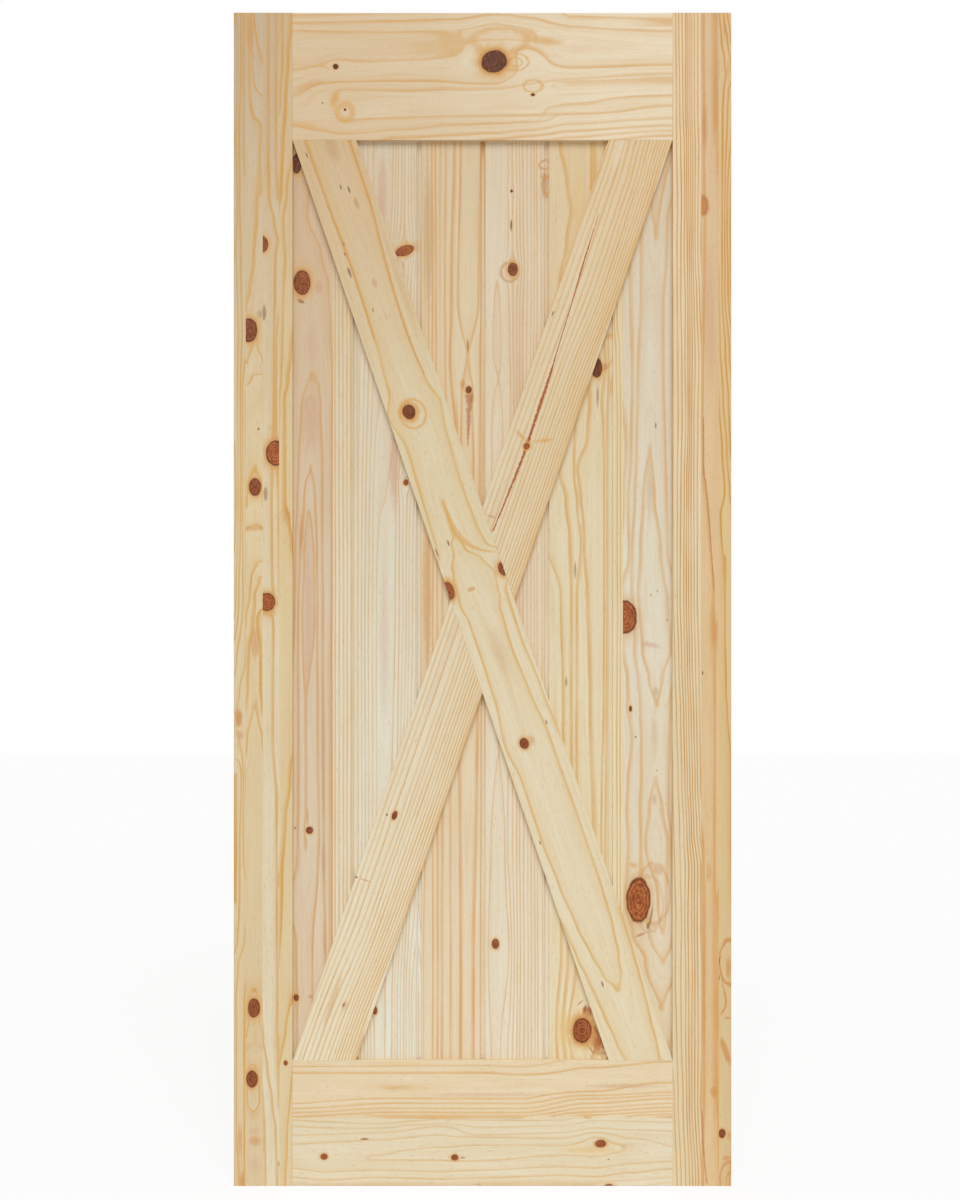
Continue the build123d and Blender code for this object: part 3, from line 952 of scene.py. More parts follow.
BOARDS["right_stile_strip_3"] = Board(
    grain="up",
    tones=[(13, (236, 210, 170)), (600, (229, 213, 176)), (1186, (226, 209, 171))],
    line=(200, 134, 40),
    sections=[
        (13, [(671, 3.7)] + count(676, 679, 682.3, 686, 688, 690, 692, 694.5, 698, 701.4, start=5)
         + [(705, 14.8)]),
        (110, [(671, 3.6)] + count(676.8, 680, 683.2, 686, 688, 690, 692, 694.6, 698, 702, start=5)
         + [(705, 14.7)]),
        (150, [(671, 3.6)] + count(677, 681, 684.6, 687, 689, 691, 693, 695.6, 699, 702.4, start=5)
         + [(705, 14.6)]),
        (200, [(671, 3.6)] + count(677.8, 681.8, 685, 687, 689, 691, 693, 695.3, 698.2, 701.8, start=5)
         + [(705, 14.8)]),
        (250, [(671, 3.6)] + count(677.2, 681, 684.3, 687.4, 689.4, 691.3, 693.2, 695.3, 698.1, 701.2,
                                   start=5) + [(705, 14.8)]),
        (300, [(671, 3.5)] + count(677.3, 681, 685.4, 688, 690, 692, 694.2, 697, 700, 703, start=5)
         + [(705, 14.5)]),
        (360, [(671, 3.5)] + count(678, 682, 685.2, 688, 690, 692.4, 695.5, 699, 702, start=5)
         + [(705, 13.8)]),
        (420, [(671, 3.5)] + count(678.4, 682.4, 686, 688.3, 690, 691.8, 694.2, 698, 702, start=5)
         + [(705, 13.7)]),
        (480, [(671, 3.5)] + count(677.6, 681.2, 684.5, 687, 689, 691.2, 694, 697.6, 702, start=5)
         + [(705, 13.7)]),
        (600, [(671, 3.3)] + count(677.5, 680.4, 684, 686.5, 688.8, 691.4, 694.3, 697.6, 702, start=5)
         + [(705, 13.7)]),
        (660, [(671, 3.1)] + count(675, 679, 682, 685, 687.6, 689.8, 692.4, 695.6, 699, 702, start=4)
         + [(705, 13.9)]),
        (720, [(671, 2.8)] + count(677, 681, 684, 686.5, 689, 691.4, 694, 697, 700, 703, start=4)
         + [(705, 13.6)]),
        (780, [(671, 2.6)] + count(673, 678.4, 682, 685, 687.4, 690, 692.6, 695.2, 697.6, 700.6, start=3)
         + [(705, 13.3)]),
        (830, [(671, 2.5)] + count(674, 679.8, 684, 687, 689.5, 691.6, 694, 697, 700, 702.8, start=3)
         + [(705, 12.8)]),
        (870, [(671, 2.4)] + count(675, 680.6, 685.4, 689, 692, 694.8, 698, 701, start=3) + [(705, 11.2)]),
        (920, [(671, 2.2)] + count(676, 681.6, 685, 688.2, 692, 694.6, 697.4, 701, start=3) + [(705, 11)]),
        (980, [(671, 2.2)] + count(675.6, 681, 686, 689, 692.4, 695, 698, 702, start=3) + [(705, 10.7)]),
        (1040, [(671, 2.1)] + count(677, 681.6, 686, 689, 692, 695, 698.4, 702, start=3) + [(705, 10.7)]),
        (1100, [(671, 1.3)] + count(674.6, 678.4, 683.4, 687, 689.5, 692, 695, 698, 701, start=2)
         + [(705, 10.9)]),
        (1186, [(671, 0.9)] + count(677.4, 681.4, 686, 690, 693, 696, 699, 702, start=2) + [(705, 9.7)]),
    ],
    soft=2.8,
    sharp=1.3,
    wander=0.15,
    tilt=0.3,
    contrast=1.0,
    uneven=0.25,
    seed=7.0,
)
BOARDS["top_rail"] = Board(
    grain="side",
    tones=[(293, (222, 197, 161)), (440, (225, 203, 168)), (600, (238, 221, 190)), (671, (238, 220, 188))],
    line=(212, 152, 56),
    sections=[
        (293, [(13, 5.2), (16, 5), (23, 4), (31, 3), (50, 2.5), (69.5, 3), (95, 4), (110, 4.4), (124, 5),
               (140, 5.5)]),
        (322, [(13, 5.2), (16, 5), (23, 4), (32, 3), (50, 2.5), (66, 3), (82, 4), (100, 4.5), (115, 4.5),
               (129, 5), (140, 5.5)]),
        (345, [(13, 5.2), (16, 5), (23, 4), (33, 3), (48, 2.5), (63, 3), (80.5, 4), (88.5, 5), (103, 5.4),
               (118, 5), (125, 4.5), (132, 5), (140, 5.6)]),
        (400, [(13, 5.2), (15.5, 5), (23.5, 4), (34, 3), (48, 2.85), (61, 3), (70, 3.5), (79, 4), (88.5, 5),
               (100, 5.5), (115, 5), (121, 4.5), (128, 5), (136, 6), (140, 6.3)]),
        (455, [(13, 5.1), (14, 5), (23, 4), (30, 3.5), (35, 3.02), (46, 3), (57, 2.98), (68, 3.4),
               (77.5, 4), (85, 5), (100, 5.5), (112.5, 5), (117, 4.5), (122.5, 5), (133, 6), (140, 6.7)]),
        (494, [(13, 4.5), (18, 4), (23, 3.5), (28.5, 3), (38, 2.6), (49, 3), (62, 3.4), (76, 4), (83, 5),
               (97, 5.4), (111.5, 5), (116, 4.5), (121, 5), (130.5, 6), (136.8, 7), (140, 7.4)]),
        (530, [(13, 4.4), (21, 4), (27, 3.5), (33, 3.02), (46, 2.98), (55, 4), (66, 4.4), (79, 5),
               (88, 5.5), (100, 5.4), (111, 5), (115, 4.5), (119.5, 5), (128, 6), (134, 7), (140, 8)]),
        (571, [(13, 5.1), (19, 5), (24, 4.6), (29, 4), (45, 3.3), (66.5, 4), (77, 5), (79.8, 6), (90, 5.4),
               (100.5, 5), (106, 4.5), (111.5, 5), (122, 6), (129.5, 7), (136, 8), (140, 8.6)]),
        (671, [(13, 5.3), (18.6, 5.02), (25, 4.98), (28, 4.5), (31.9, 4), (48, 3.4), (65, 4), (73.7, 5),
               (79.5, 6), (86, 5.5), (93.5, 5), (99, 4.5), (105, 5), (116.8, 6), (124, 7), (129.5, 8),
               (134.5, 9), (140, 9.8)]),
    ],
    knots=[
        Knot(494, 61.5, 26, 22.5, turn=-12, dark=0.85, push=1.2, glow=0.9),
        Knot(335.7, 66.6, 5.5, 5.5, dark=0.9, push=1.6),
        Knot(345, 109.6, 2.4, 2.4, dark=0.9),
        Knot(533, 94.7, 4, 3, dark=0.8),
    ],
    marks=[
        Mark(431, 47, 70, 20, tint="amber", amount=0.3, soft=0.9),
        Mark(335, 99, 13, 26, turn=20, tint="amber", amount=0.8, soft=0.8),
        Mark(345, 112, 15, 16, tint="amber", amount=0.6, hollow=0.6, ragged=0.3),
        Mark(304, 125, 44, 9, turn=6, tint="amber", amount=0.5, soft=0.9),
        Mark(546, 41, 50, 13, turn=5, tint="amber", amount=0.7, soft=0.9),
        Mark(500, 40, 54, 24, tint="amber", amount=0.5, soft=0.9, hollow=0.3, ragged=0.35),
        Mark(515, 62, 27, 17, tint="amber", amount=0.6, soft=0.9, hollow=0.2, ragged=0.35),
        Mark(515, 62, 14, 9, tint="amber", amount=0.6, soft=0.9, hollow=0.35, ragged=0.4),
        Mark(508, 69, 34, 12, tint="amber", amount=0.35, soft=0.9),
        Mark(533, 86, 19, 12, tint="amber", amount=0.6, soft=0.9, hollow=0.3, ragged=0.5),
        Mark(308, 86, 44, 12, turn=-22, tint="orange", amount=0.35, soft=0.9),
        Mark(322.5, 102.8, 2.4, 2.4, tint="brown", amount=0.9),
    ],
    soft=7.0,
    sharp=2.8,
    contrast=0.68,
    uneven=0.25,
    faint=0.3,
    wander=1.1,
    build=0.5,
    seed=8.0,
)
BOARDS["bottom_rail_upper_board"] = Board(
    grain="side",
    tones=[(293, (230, 210, 174)), (671, (232, 213, 178))],
    line=(214, 158, 70),
    sections=[
        (293, [(1060.4, 0.4), (1066.6, 1), (1073.2, 2), (1081.5, 2.6), (1087.5, 2.3), (1096, 2.6),
               (1103.9, 3), (1108.9, 4), (1113, 5), (1117.2, 6), (1119, 6.4)]),
        (395, [(1060.4, 0.4), (1066.4, 1), (1073.2, 2), (1082, 2.7), (1087.8, 3), (1093, 2.6), (1099, 3),
               (1103.9, 4), (1108.9, 5), (1113, 6), (1117.2, 7)]),
        (485, [(1060.4, 0.4), (1066, 1), (1073.2, 2), (1085.7, 2.7), (1092, 2.5), (1099, 3), (1103.9, 4),
               (1108.9, 5), (1113, 6), (1117.2, 7)]),
        (521, [(1060.4, 0.4), (1067, 1), (1075.2, 2), (1085.7, 2.9), (1092, 2.5), (1099, 3), (1103.9, 4),
               (1108.9, 5), (1113, 6), (1117.2, 7)]),
        (588, [(1060.4, 1.2), (1068.2, 2), (1083, 2.6), (1092, 3), (1096, 4), (1099.5, 5), (1104, 6),
               (1108.4, 7), (1112.4, 8), (1116.6, 9)]),
        (671, [(1060.4, 1.8), (1061.9, 2), (1083, 3), (1092.3, 4), (1095.6, 5), (1099, 6), (1103.9, 7),
               (1108, 8), (1111.7, 9), (1114.5, 10), (1118, 11)]),
    ],
    heavy={1: 0.7, 2: 1.0},
    marks=[
        Mark(485, 1094.5, 170, 6, tint="pink", amount=0.35, soft=0.8),
        Mark(625, 1086, 100, 7, tint="pink", amount=0.45, soft=0.8),
        Mark(400, 1064, 120, 5, tint="yellow", amount=0.4, soft=0.9),
    ],
    soft=5.0,
    sharp=1.8,
    uneven=0.2,
    contrast=0.72,
    seed=9.0,
)
BOARDS["bottom_rail_lower_board"] = Board(
    grain="side",
    tones=[(293, (227, 214, 183)), (671, (229, 216, 186))],
    line=(212, 160, 72),
    sections=[
        (293, [(1117, 0.5)] + count(1121, 1127, 1135.9, 1144.5) + [(1157, 4.6)]
         + count(1168.6, 1177.4, 1184, start=5) + [(1187, 7.5)]),
        (325, [(1117, 0.4)] + count(1122.5, 1128.5, 1135, 1143) + [(1157.8, 4.5)]
         + count(1171.9, 1180.2, 1186, start=5)),
        (375, [(1117, 0.4), (1124, 1), (1128.5, 2), (1133, 3), (1140, 4), (1154.5, 4.97), (1157.8, 5.03),
               (1160, 4.97), (1165, 4.7), (1170.5, 5), (1178, 6), (1184, 7)]),
        (440, [(1118.8, 1), (1123, 1.6), (1127, 3), (1135.5, 4), (1147.8, 5), (1153.5, 5.4), (1159.6, 5),
               (1165, 4.7), (1171.5, 5), (1179, 6), (1185, 7)]),
        (480, [(1117, 0.8), (1120.5, 1), (1128, 2), (1135.4, 3), (1138, 4), (1145.9, 5), (1153, 5.4),
               (1160.3, 5), (1164.5, 4.7), (1170.2, 5), (1177.8, 6), (1184, 7)]),
        (560, [(1117, 0.6), (1121, 1), (1126.4, 2), (1133.5, 3), (1139, 4), (1145.6, 5), (1150, 5.3),
               (1154.8, 5), (1161, 4.7), (1167, 5), (1175.4, 6), (1183.5, 7)]),
        (596, [(1117, 1.2), (1121.4, 2), (1129.2, 3), (1134, 4), (1139.4, 5), (1148, 5.3), (1155.3, 5),
               (1162, 4.7), (1168, 5), (1177, 6), (1184, 7)]),
        (630, [(1117, 1.2), (1121.8, 2), (1130.8, 3), (1139, 4), (1147, 4.97), (1149.5, 4.97), (1156, 4.6),
               (1164, 5), (1173, 6), (1180.5, 7), (1186, 7.6)]),
        (671, [(1117, 1.2), (1123, 2), (1131.6, 3), (1145, 3.9), (1154, 4.4), (1162, 5), (1169.4, 6),
               (1177.7, 7), (1182.7, 8), (1187, 8.6)]),
    ],
    knots=[
        Knot(324, 1156.6, 7, 6, dark=0.25, push=0.8),
        Knot(454.8, 1157.4, 7, 6, dark=0.1, push=0.6),
        Knot(600.6, 1143.7, 11, 7.5, dark=0.35, push=0.8),
        Knot(609, 1187, 9, 6, dark=0.4, push=0.6),
    ],
    marks=[
        Mark(590, 1150, 84, 12, tint="yellow", amount=0.6, soft=0.8),
        Mark(364.5, 1139, 11, 3, tint="red", amount=0.7),
        Mark(463, 1157.5, 7, 3, tint="red", amount=0.5),
        Mark(608.5, 1159.5, 3, 2, tint="brown", amount=0.7),
        Mark(479.5, 1184.5, 5, 3, amount=0.6),
    ],
    soft=4.4,
    sharp=1.8,
    contrast=0.6,
    faint=0.2,
    seed=10.0,
)
BOARDS["plank_1_left_strip"] = Board(
    grain="up",
    face=PLANK_FACE,
    tones=[(140, (211, 182, 147)), (600, (219, 200, 171)), (1060, (222, 203, 174))],
    line=(208, 150, 76),
    sections=[
        (150, [(293, 3.2), (302, 3.5), (310, 4), (332, 4.5)]),
        (215, [(293, 3.2), (306, 4), (332, 4.6)]),
        (250, [(293, 3.2), (318, 4), (332, 4.4)]),
        (285, [(293, 3.1), (314, 3.6), (326, 4), (332, 4.2)]),
        (330, [(293, 3.1), (312, 3.4), (329, 4), (332, 4.2)]),
        (375, [(293, 3.4), (310, 3), (318, 3.05), (325, 3.5), (331, 4), (333, 4.2)]),
        (410, [(292, 3.6), (294, 3.5), (300, 3), (310, 2.6), (319.5, 3), (331, 4), (333, 4.2)]),
        (470, [(293, 3.4), (297, 3), (303, 2.4), (309.5, 2), (316, 2.4), (322, 3), (331, 4), (333, 4.2)]),
        (500, [(293, 3.3), (296, 3), (302.8, 2), (307.8, 1.05), (315, 2), (322, 3), (331, 4), (333, 4.2)]),
        (560, [(292, 3.4), (294, 3), (298.5, 2), (303, 1), (308, 0.5), (313.5, 1), (316.5, 2), (322, 3),
               (331, 4), (333, 4.2)]),
        (612, [(292, 3.3), (293.5, 3), (297, 2), (301, 1), (309, 0.5), (314, 1), (317, 2), (322.5, 3),
               (331, 4), (333, 4.2)]),
        (700, [(292, 2.7), (297, 2), (305, 1), (312, 1.4), (317.8, 2), (323, 3), (331.5, 4)]),
        (842, [(292, 2.6), (297, 2), (305, 1), (312, 1.4), (317.8, 2), (323, 3), (331.5, 4)]),
        (950, [(292, 0.7), (296, 1), (304, 1.5), (312, 2), (320, 2.6), (325, 3), (331, 4)]),
        (1060, [(292, 0.6), (297, 1), (305, 1.5), (312, 2), (320, 2.6), (325, 3), (331, 4)]),
    ],
    uneven=0.25,
    knots=[
        Knot(296, 162, 10, 20, dark=0.8, push=1.0),
        Knot(301.5, 281.5, 17, 25, dark=0.35, push=0.9),
        Knot(308.8, 831, 7, 7, dark=0.5, push=0.8),
        Knot(295.6, 999, 5, 7, dark=0.5, push=0.8),
    ],
    marks=[
        *alike((311, 420, 24, 90), (308, 610, 14, 260), tint="pink", amount=0.45, soft=0.9),
        Mark(312, 345, 14, 70, tint="pink", amount=0.35, soft=0.9),
        Mark(318, 286, 12, 18, tint="pink", amount=0.6, soft=0.7),
        Mark(310, 405, 9, 16, tint="pink", amount=0.5, hollow=0.5),
        *alike((301, 535, 8, 60), (324, 940, 5, 60), amount=0.5, soft=0.8),
        Mark(307, 817, 3, 26, amount=0.6),
        *alike((323, 760, 6, 200), (323, 862, 6, 60), tint="tan", amount=0.6, soft=0.8),
        Mark(310, 998, 6, 5, tint="tan", amount=0.8),
        Mark(300, 300, 9, 4, turn=25, tint="brown", amount=0.8, soft=0.4),
        Mark(294.6, 829, 3, 4, tint="brown", amount=0.7),
    ],
    streaks=[Streak([(140, 331.5, 1), (600, 331.2, 1.4), (1060, 331.4, 1)], tint="orange", amount=0.5)],
    contrast=0.74,
    faint=0.25,
    build=0.55,
    seed=11.0,
)
BOARDS["plank_1_right_strip"] = Board(
    grain="up",
    face=PLANK_FACE,
    tones=[(140, (210, 190, 155)), (560, (229, 217, 189)), (1060, (231, 220, 193))],
    line=(212, 154, 62),
    sections=[
        (140, [(332, 0.4)] + count(335, 339, 343, 347, 351, 355) + [(358, 6.6)]),
        (1060, [(332, 0.4)] + count(335, 339, 343.4, 347, 351.5, 355) + [(358, 6.6)]),
    ],
    soft=3.2,
    sharp=1.3,
    heavy={5: 1.6},
    seed=12.0,
)
BOARDS["plank_2"] = Board(
    grain="up",
    face=PLANK_FACE,
    tones=[(140, (219, 204, 178)), (460, (223, 211, 186)), (720, (229, 223, 202)), (1060, (230, 224, 203))],
    line=(210, 158, 78),
    sections=[
        (170, [(357, 0.2)] + count(363, 368, 374, start=1) + [(388, 3.6)]
         + count(393, 396, 398.5, 402, 405, 408.5, 411.5, 414.5, start=4) + [(421, 13)]),
        (600, [(357, 0.8)] + count(358, 361.5, 365, 368.5, 372.5, 376.5) + [(388, 6.5)]
         + count(395, 399, 402.5, 406, 409, 412.5, 416, start=7) + [(421, 14.4)]),
        (900, [(357, 0.9)] + count(358, 361.5, 365, 368.5, 372.5, 376.5) + [(382, 6.4)]
         + count(390, 395.5, 398, 401, 404, 407, 410, start=7) + [(421, 15)]),
        (1000, [(357, 0.9)] + count(358, 361, 364.5, 368, 371, 374.5) + [(379, 6.4)]
         + count(384.5, 391.5, 394.5, 397, 400, 403.5, 406, 409, 411.8, start=7) + [(421, 17)]),
        (1060, [(357, 0.9)] + count(358, 361, 364.5, 368, 371, 374.5) + [(379, 6.4)]
         + count(384.5, 391.5, 394.5, 397, 400, 403.5, 406, 409, 411.8, start=7) + [(421, 17)]),
    ],
    soft=2.8,
    sharp=1.2,
    contrast=0.74,
    knots=[
        Knot(404.5, 249.5, 19, 10, turn=-20, dark=0.0, push=0.5),
        Knot(405.7, 482, 5, 6, dark=0.0, push=1.4),
        Knot(374.5, 1012, 5, 8, dark=0.3, push=1.0),
    ],
    marks=[
        Mark(382, 190, 13, 100, tint="pink", amount=0.5, soft=0.7),
        Mark(394, 468, 14, 120, tint="pink", amount=0.6, soft=0.8),
        Mark(384, 640, 12, 240, tint="pink", amount=0.25, soft=0.7),
    ],
    seed=13.0,
)
BOARDS["plank_3"] = Board(
    grain="up",
    face=PLANK_FACE,
    tones=[(140, (221, 199, 162)), (500, (228, 209, 173)), (1060, (231, 214, 182))],
    line=(210, 144, 60),
    sections=[
        (140, [(420, 9.7), (423, 9), (426.5, 8), (431, 7), (434.5, 6), (439.5, 5), (445, 4), (453.5, 3),
               (460, 2), (470, 1.3), (481.5, 2), (485, 3)]),
        (300, [(420, 9.6), (424, 9), (428, 8), (432, 7), (435.5, 6), (439.5, 5), (444.5, 4), (451, 3),
               (457.8, 2), (468, 1.5), (479, 2), (483.5, 3), (486, 3.6)]),
        (352, [(420, 9.6), (424, 9), (428, 8), (432, 7), (436, 6), (440, 5), (445, 4), (450, 3), (460, 2.3),
               (467.8, 2), (475, 2.3), (481, 3), (486, 3.8)]),
        (470, [(420, 9.4), (424, 9), (429, 8), (433, 7), (437, 6), (442, 5), (449, 4), (457, 3), (460.5, 2),
               (467, 1.5), (474, 2), (480.5, 3), (486, 4)]),
        (700, [(419, 9.4), (422, 9), (427, 8), (432, 7), (436.5, 6), (441.5, 5), (449, 4), (458.5, 3),
               (467, 2), (474, 2.5), (481, 3.4), (486, 4.4)]),
        (950, [(413, 9.4), (418, 9), (422.8, 8), (432, 7), (437, 6), (441.5, 5), (450, 4), (460, 3),
               (467, 2.5), (474, 3), (481.5, 4), (486, 4.7)]),
        (1060, [(413, 9.4), (418, 9), (422.8, 8), (432, 7), (437, 6), (441.5, 5), (450, 4), (460, 3),
                (467, 2.5), (474, 3), (481.5, 4), (486, 4.7)]),
    ],
    heavy={3: 1.3, 5: 1.3},
    uneven=0.25,
    knots=[Knot(468.7, 389, 6, 7, dark=0.6, push=1.0)],
    marks=[
        Mark(428, 235, 15, 210, tint="tan", amount=0.55, soft=0.7),
        Mark(427, 595, 13, 220, tint="orange", amount=0.55, soft=0.7),
        Mark(462.5, 384, 8, 17, amount=0.75, soft=0.9, ragged=0.8),
        Mark(472, 398, 8, 12, amount=0.6, soft=0.9, ragged=0.8),
        Mark(440, 400, 9, 500, tint="pale", amount=0.4, soft=0.8),
        Mark(467.8, 345, 3, 20, tint="rust", amount=0.6),
    ],
    contrast=0.72,
    faint=0.2,
    streaks=[Streak([(388, 468.7, 2), (400, 469.8, 5), (414, 469, 5), (430, 468.4, 3), (448, 468, 1)],
                    tint="rust", amount=0.65)],
    seed=14.0,
)
BOARDS["plank_4"] = Board(
    grain="up",
    face=PLANK_FACE,
    tones=[(140, (224, 206, 177)), (500, (227, 211, 182)), (1060, (232, 221, 196))],
    line=(212, 156, 78),
    sections=[
        (140, [(484, 2.3), (486, 2.4), (498, 2.3), (505, 2.6), (508.5, 3), (512.5, 4), (516.5, 5),
               (519.5, 6), (522.8, 7), (527, 8), (531, 9), (534, 10), (536.5, 11), (541, 12), (546, 13),
               (550, 14)]),
        (350, [(484, 2.4), (498.5, 1.9), (506, 2.5), (510, 3), (513.5, 4), (517, 5), (520, 6), (523, 7),
               (527, 8), (531, 9), (534, 10), (537, 11), (541.5, 12), (546, 13), (550, 14)]),
        (378, [(484, 2.6), (498.5, 2), (510.5, 3), (514, 4), (517, 5), (520, 6), (523, 7), (527, 8),
               (531, 9), (534, 10), (537, 11), (541.5, 12), (546, 13), (550, 14)]),
        (440, [(484, 2.7), (491.5, 2), (497, 1.4), (503, 2), (510, 3), (514, 4), (517, 5), (520, 6),
               (523, 7), (527, 8), (531, 9), (534, 10), (537, 11), (542, 12), (546, 13), (550, 14)]),
        (752, [(484, 2.7), (491, 2.4), (498.5, 2), (504.5, 2.5), (509, 3), (513, 4), (517, 5), (520, 6),
               (523.5, 7), (527.5, 8), (531, 9), (534.5, 10), (537.5, 11), (542.5, 12), (546.5, 13),
               (550, 13.8)]),
        (840, [(484, 2.6), (490.5, 2), (498, 1.3), (505, 2), (508, 3), (512.8, 4), (517, 5), (520, 6),
               (524, 7), (528, 8), (531.5, 9), (535, 10), (538, 11), (543, 12), (547, 13), (550, 13.6)]),
        (945, [(484, 2.7), (488, 2), (497, 1.3), (509, 2), (511.5, 3), (514.5, 4), (517.5, 5), (520.5, 6),
               (524, 7), (528, 8), (531.5, 9), (535, 10), (538, 11), (543, 12), (547, 13), (550, 13.6)]),
        (1060, [(484, 2.5), (497, 1.8), (504, 2.4), (507.8, 3), (512.8, 4), (517, 5), (520, 6), (524, 7),
                (528, 8), (531.5, 9), (535, 10), (538, 11), (543, 12), (547, 13), (550, 13.6)]),
    ],
    soft=3.2,
    sharp=1.3,
    knots=[
        Knot(513, 268, 10, 13.5, dark=0.45, push=0.9),
        Knot(495.5, 945, 7, 10, dark=0.3, push=0.4),
        Knot(511.8, 189.6, 2.5, 3, dark=0.6),
    ],
    marks=[
        Mark(545, 182, 12, 40, tint="tan", amount=0.7, soft=0.8, ragged=1.2),
        Mark(509.5, 271, 17, 19, tint="tan", amount=0.75, soft=0.9, hollow=0.28, ragged=0.35),
        Mark(519, 500, 26, 700, tint="pink", amount=0.22, soft=0.7),
        Mark(511.3, 223.6, 3, 15, tint="brown", amount=0.8),
        *alike((545, 163, 11, 9), (547, 184, 9, 18), amount=0.6, soft=0.9, hollow=0.4, ragged=1.2),
    ],
    contrast=0.78,
    seed=15.0,
)
BOARDS["plank_5"] = Board(
    grain="up",
    face=PLANK_FACE,
    tones=[(140, (225, 202, 162)), (500, (228, 213, 178)), (1060, (232, 217, 180))],
    line=(212, 156, 60),
    sections=[
        (145, [(549, 5.4), (560, 5), (574, 4.5), (591, 4), (594.5, 3), (604, 2), (608, 1), (613, 0.5)]),
        (180, [(549, 5.7), (566.5, 5), (578, 4.5), (591, 4), (594.5, 3), (604, 2), (608, 1), (613, 0.5)]),
        (210, [(549, 5.8), (570, 5), (580, 4.5), (591, 4), (594.5, 3), (604, 2), (608, 1), (613, 0.5)]),
        (240, [(549, 5.6), (566, 5), (578, 4.5), (591, 4), (594.5, 3), (604, 2), (608, 1), (613, 0.5)]),
        (280, [(549, 5.4), (560, 5), (574, 4.5), (590, 4), (594.5, 3), (604, 2), (608, 1), (613, 0.5)]),
        (400, [(549, 5.4), (560, 4.9), (576, 4), (590, 3), (601, 2), (607, 1), (613, 0.5)]),
        (430, [(549, 5.5), (561, 4.9), (575, 4), (587.8, 3), (603, 2), (607, 1), (613, 0.5)]),
        (470, [(549, 5.7), (560, 5), (574, 4), (577.8, 3), (592, 2.5), (604, 2), (607, 1), (613, 0.5)]),
        (500, [(549, 5.7), (566, 5), (577, 4), (581, 3), (592, 2.5), (604, 2), (607, 1), (613, 0.5)]),
        (540, [(549, 5.9), (560, 5.5), (570, 5), (581, 4), (584.5, 3), (594, 2.5), (604, 2), (607, 1),
               (613, 0.5)]),
        (600, [(549, 6.5), (561, 6), (571.5, 5), (577, 4), (587.8, 3), (596, 2.5), (604, 2), (607, 1),
               (613, 0.5)]),
        (700, [(549, 6.5), (563, 6), (571, 5), (576.5, 4), (590, 3), (597, 2.5), (604, 2), (607, 1),
               (613, 0.5)]),
        (842, [(549, 6.5), (563, 6), (571, 5), (577, 4), (593, 3), (601, 2), (605, 1), (613, 0.5)]),
        (960, [(549, 6.5), (561, 6), (568, 5), (576, 4), (594, 3), (601, 2), (605, 1), (613, 0.5)]),
        (1032, [(549, 6.6), (557, 6), (564, 5), (570, 4), (582, 3.5), (597, 3), (603, 2), (607, 1),
                (613, 0.5)]),
        (1060, [(549, 6.6), (558, 6), (566, 5), (573, 4), (591, 3), (601, 2), (606, 1), (613, 0.5)]),
    ],
    heavy={3: 1.7, 5: 1.5, 4: 1.3},
    uneven=0.1,
    knots=[Knot(597, 367, 11, 20, dark=0.75, push=1.0), Knot(582.5, 1032, 19, 25, dark=0.2, push=0.6,
                                                             glow=0.9)],
    marks=[
        Mark(580, 200, 16, 120, tint="yellow", amount=0.5, soft=0.8),
        Mark(564, 1030, 18, 60, tint="yellow", amount=0.7, soft=0.8),
        Mark(607, 352, 15, 36, turn=15, tint="amber", amount=0.7, soft=0.9, hollow=0.2, ragged=0.3),
        Mark(612, 386, 9, 34, tint="amber", amount=0.6, soft=0.9),
        Mark(605, 366, 8, 12, turn=20, tint="rust", amount=0.5, soft=0.8),
        Mark(596, 1038, 20, 46, turn=-20, tint="rust", amount=0.85, soft=0.6, ragged=1.4),
        Mark(588, 1014, 14, 18, tint="rust", amount=0.8, soft=0.6, ragged=1.2),
        Mark(580.5, 1004, 13, 2, turn=-42, tint="rust", amount=0.6, soft=0.7, ragged=0.6),
        Mark(598, 395, 4, 34, tint="red", amount=0.55, soft=0.8),
        Mark(585, 1012, 3.6, 14, turn=14, tint="red", amount=0.75, soft=0.5, ragged=0.7),
        Mark(595, 1030, 2.6, 26, turn=-24, tint="red", amount=0.65, soft=0.6, ragged=0.7),
        Mark(590.5, 1050, 2.4, 18, turn=-35, tint="red", amount=0.6, soft=0.6, ragged=0.7),
        *alike((575.5, 570, 3, 22), (566.5, 682, 3, 14), tint="brown", amount=0.5),
        Mark(598, 1052, 12, 14, tint="orange", amount=0.5, soft=0.8, ragged=1.2),
        Mark(597, 620, 12, 400, tint="pale", amount=0.4, soft=0.8),
    ],
    contrast=0.74,
    faint=0.2,
    build=0.5,
    seed=16.0,
)
BOARDS["plank_6_left_strip"] = Board(
    grain="up",
    face=PLANK_FACE,
    tones=[(140, (226, 207, 167)), (1060, (232, 221, 184))],
    line=(212, 152, 54),
    sections=[
        (320, [(610, 0.4), (612.5, 1), (615, 2), (618, 3), (624, 4)]),
        (350, [(610, 0.4), (612.8, 1), (617, 2), (620.4, 3), (624, 3.8)]),
        (420, [(610, 0.4), (612.8, 1), (617.8, 2), (621.2, 3), (624, 3.7)]),
        (1060, [(610, 0.4), (612.8, 1), (617.8, 2), (621.2, 3), (624, 3.7)]),
    ],
    soft=3.2,
    sharp=1.3,
    seed=17.0,
)
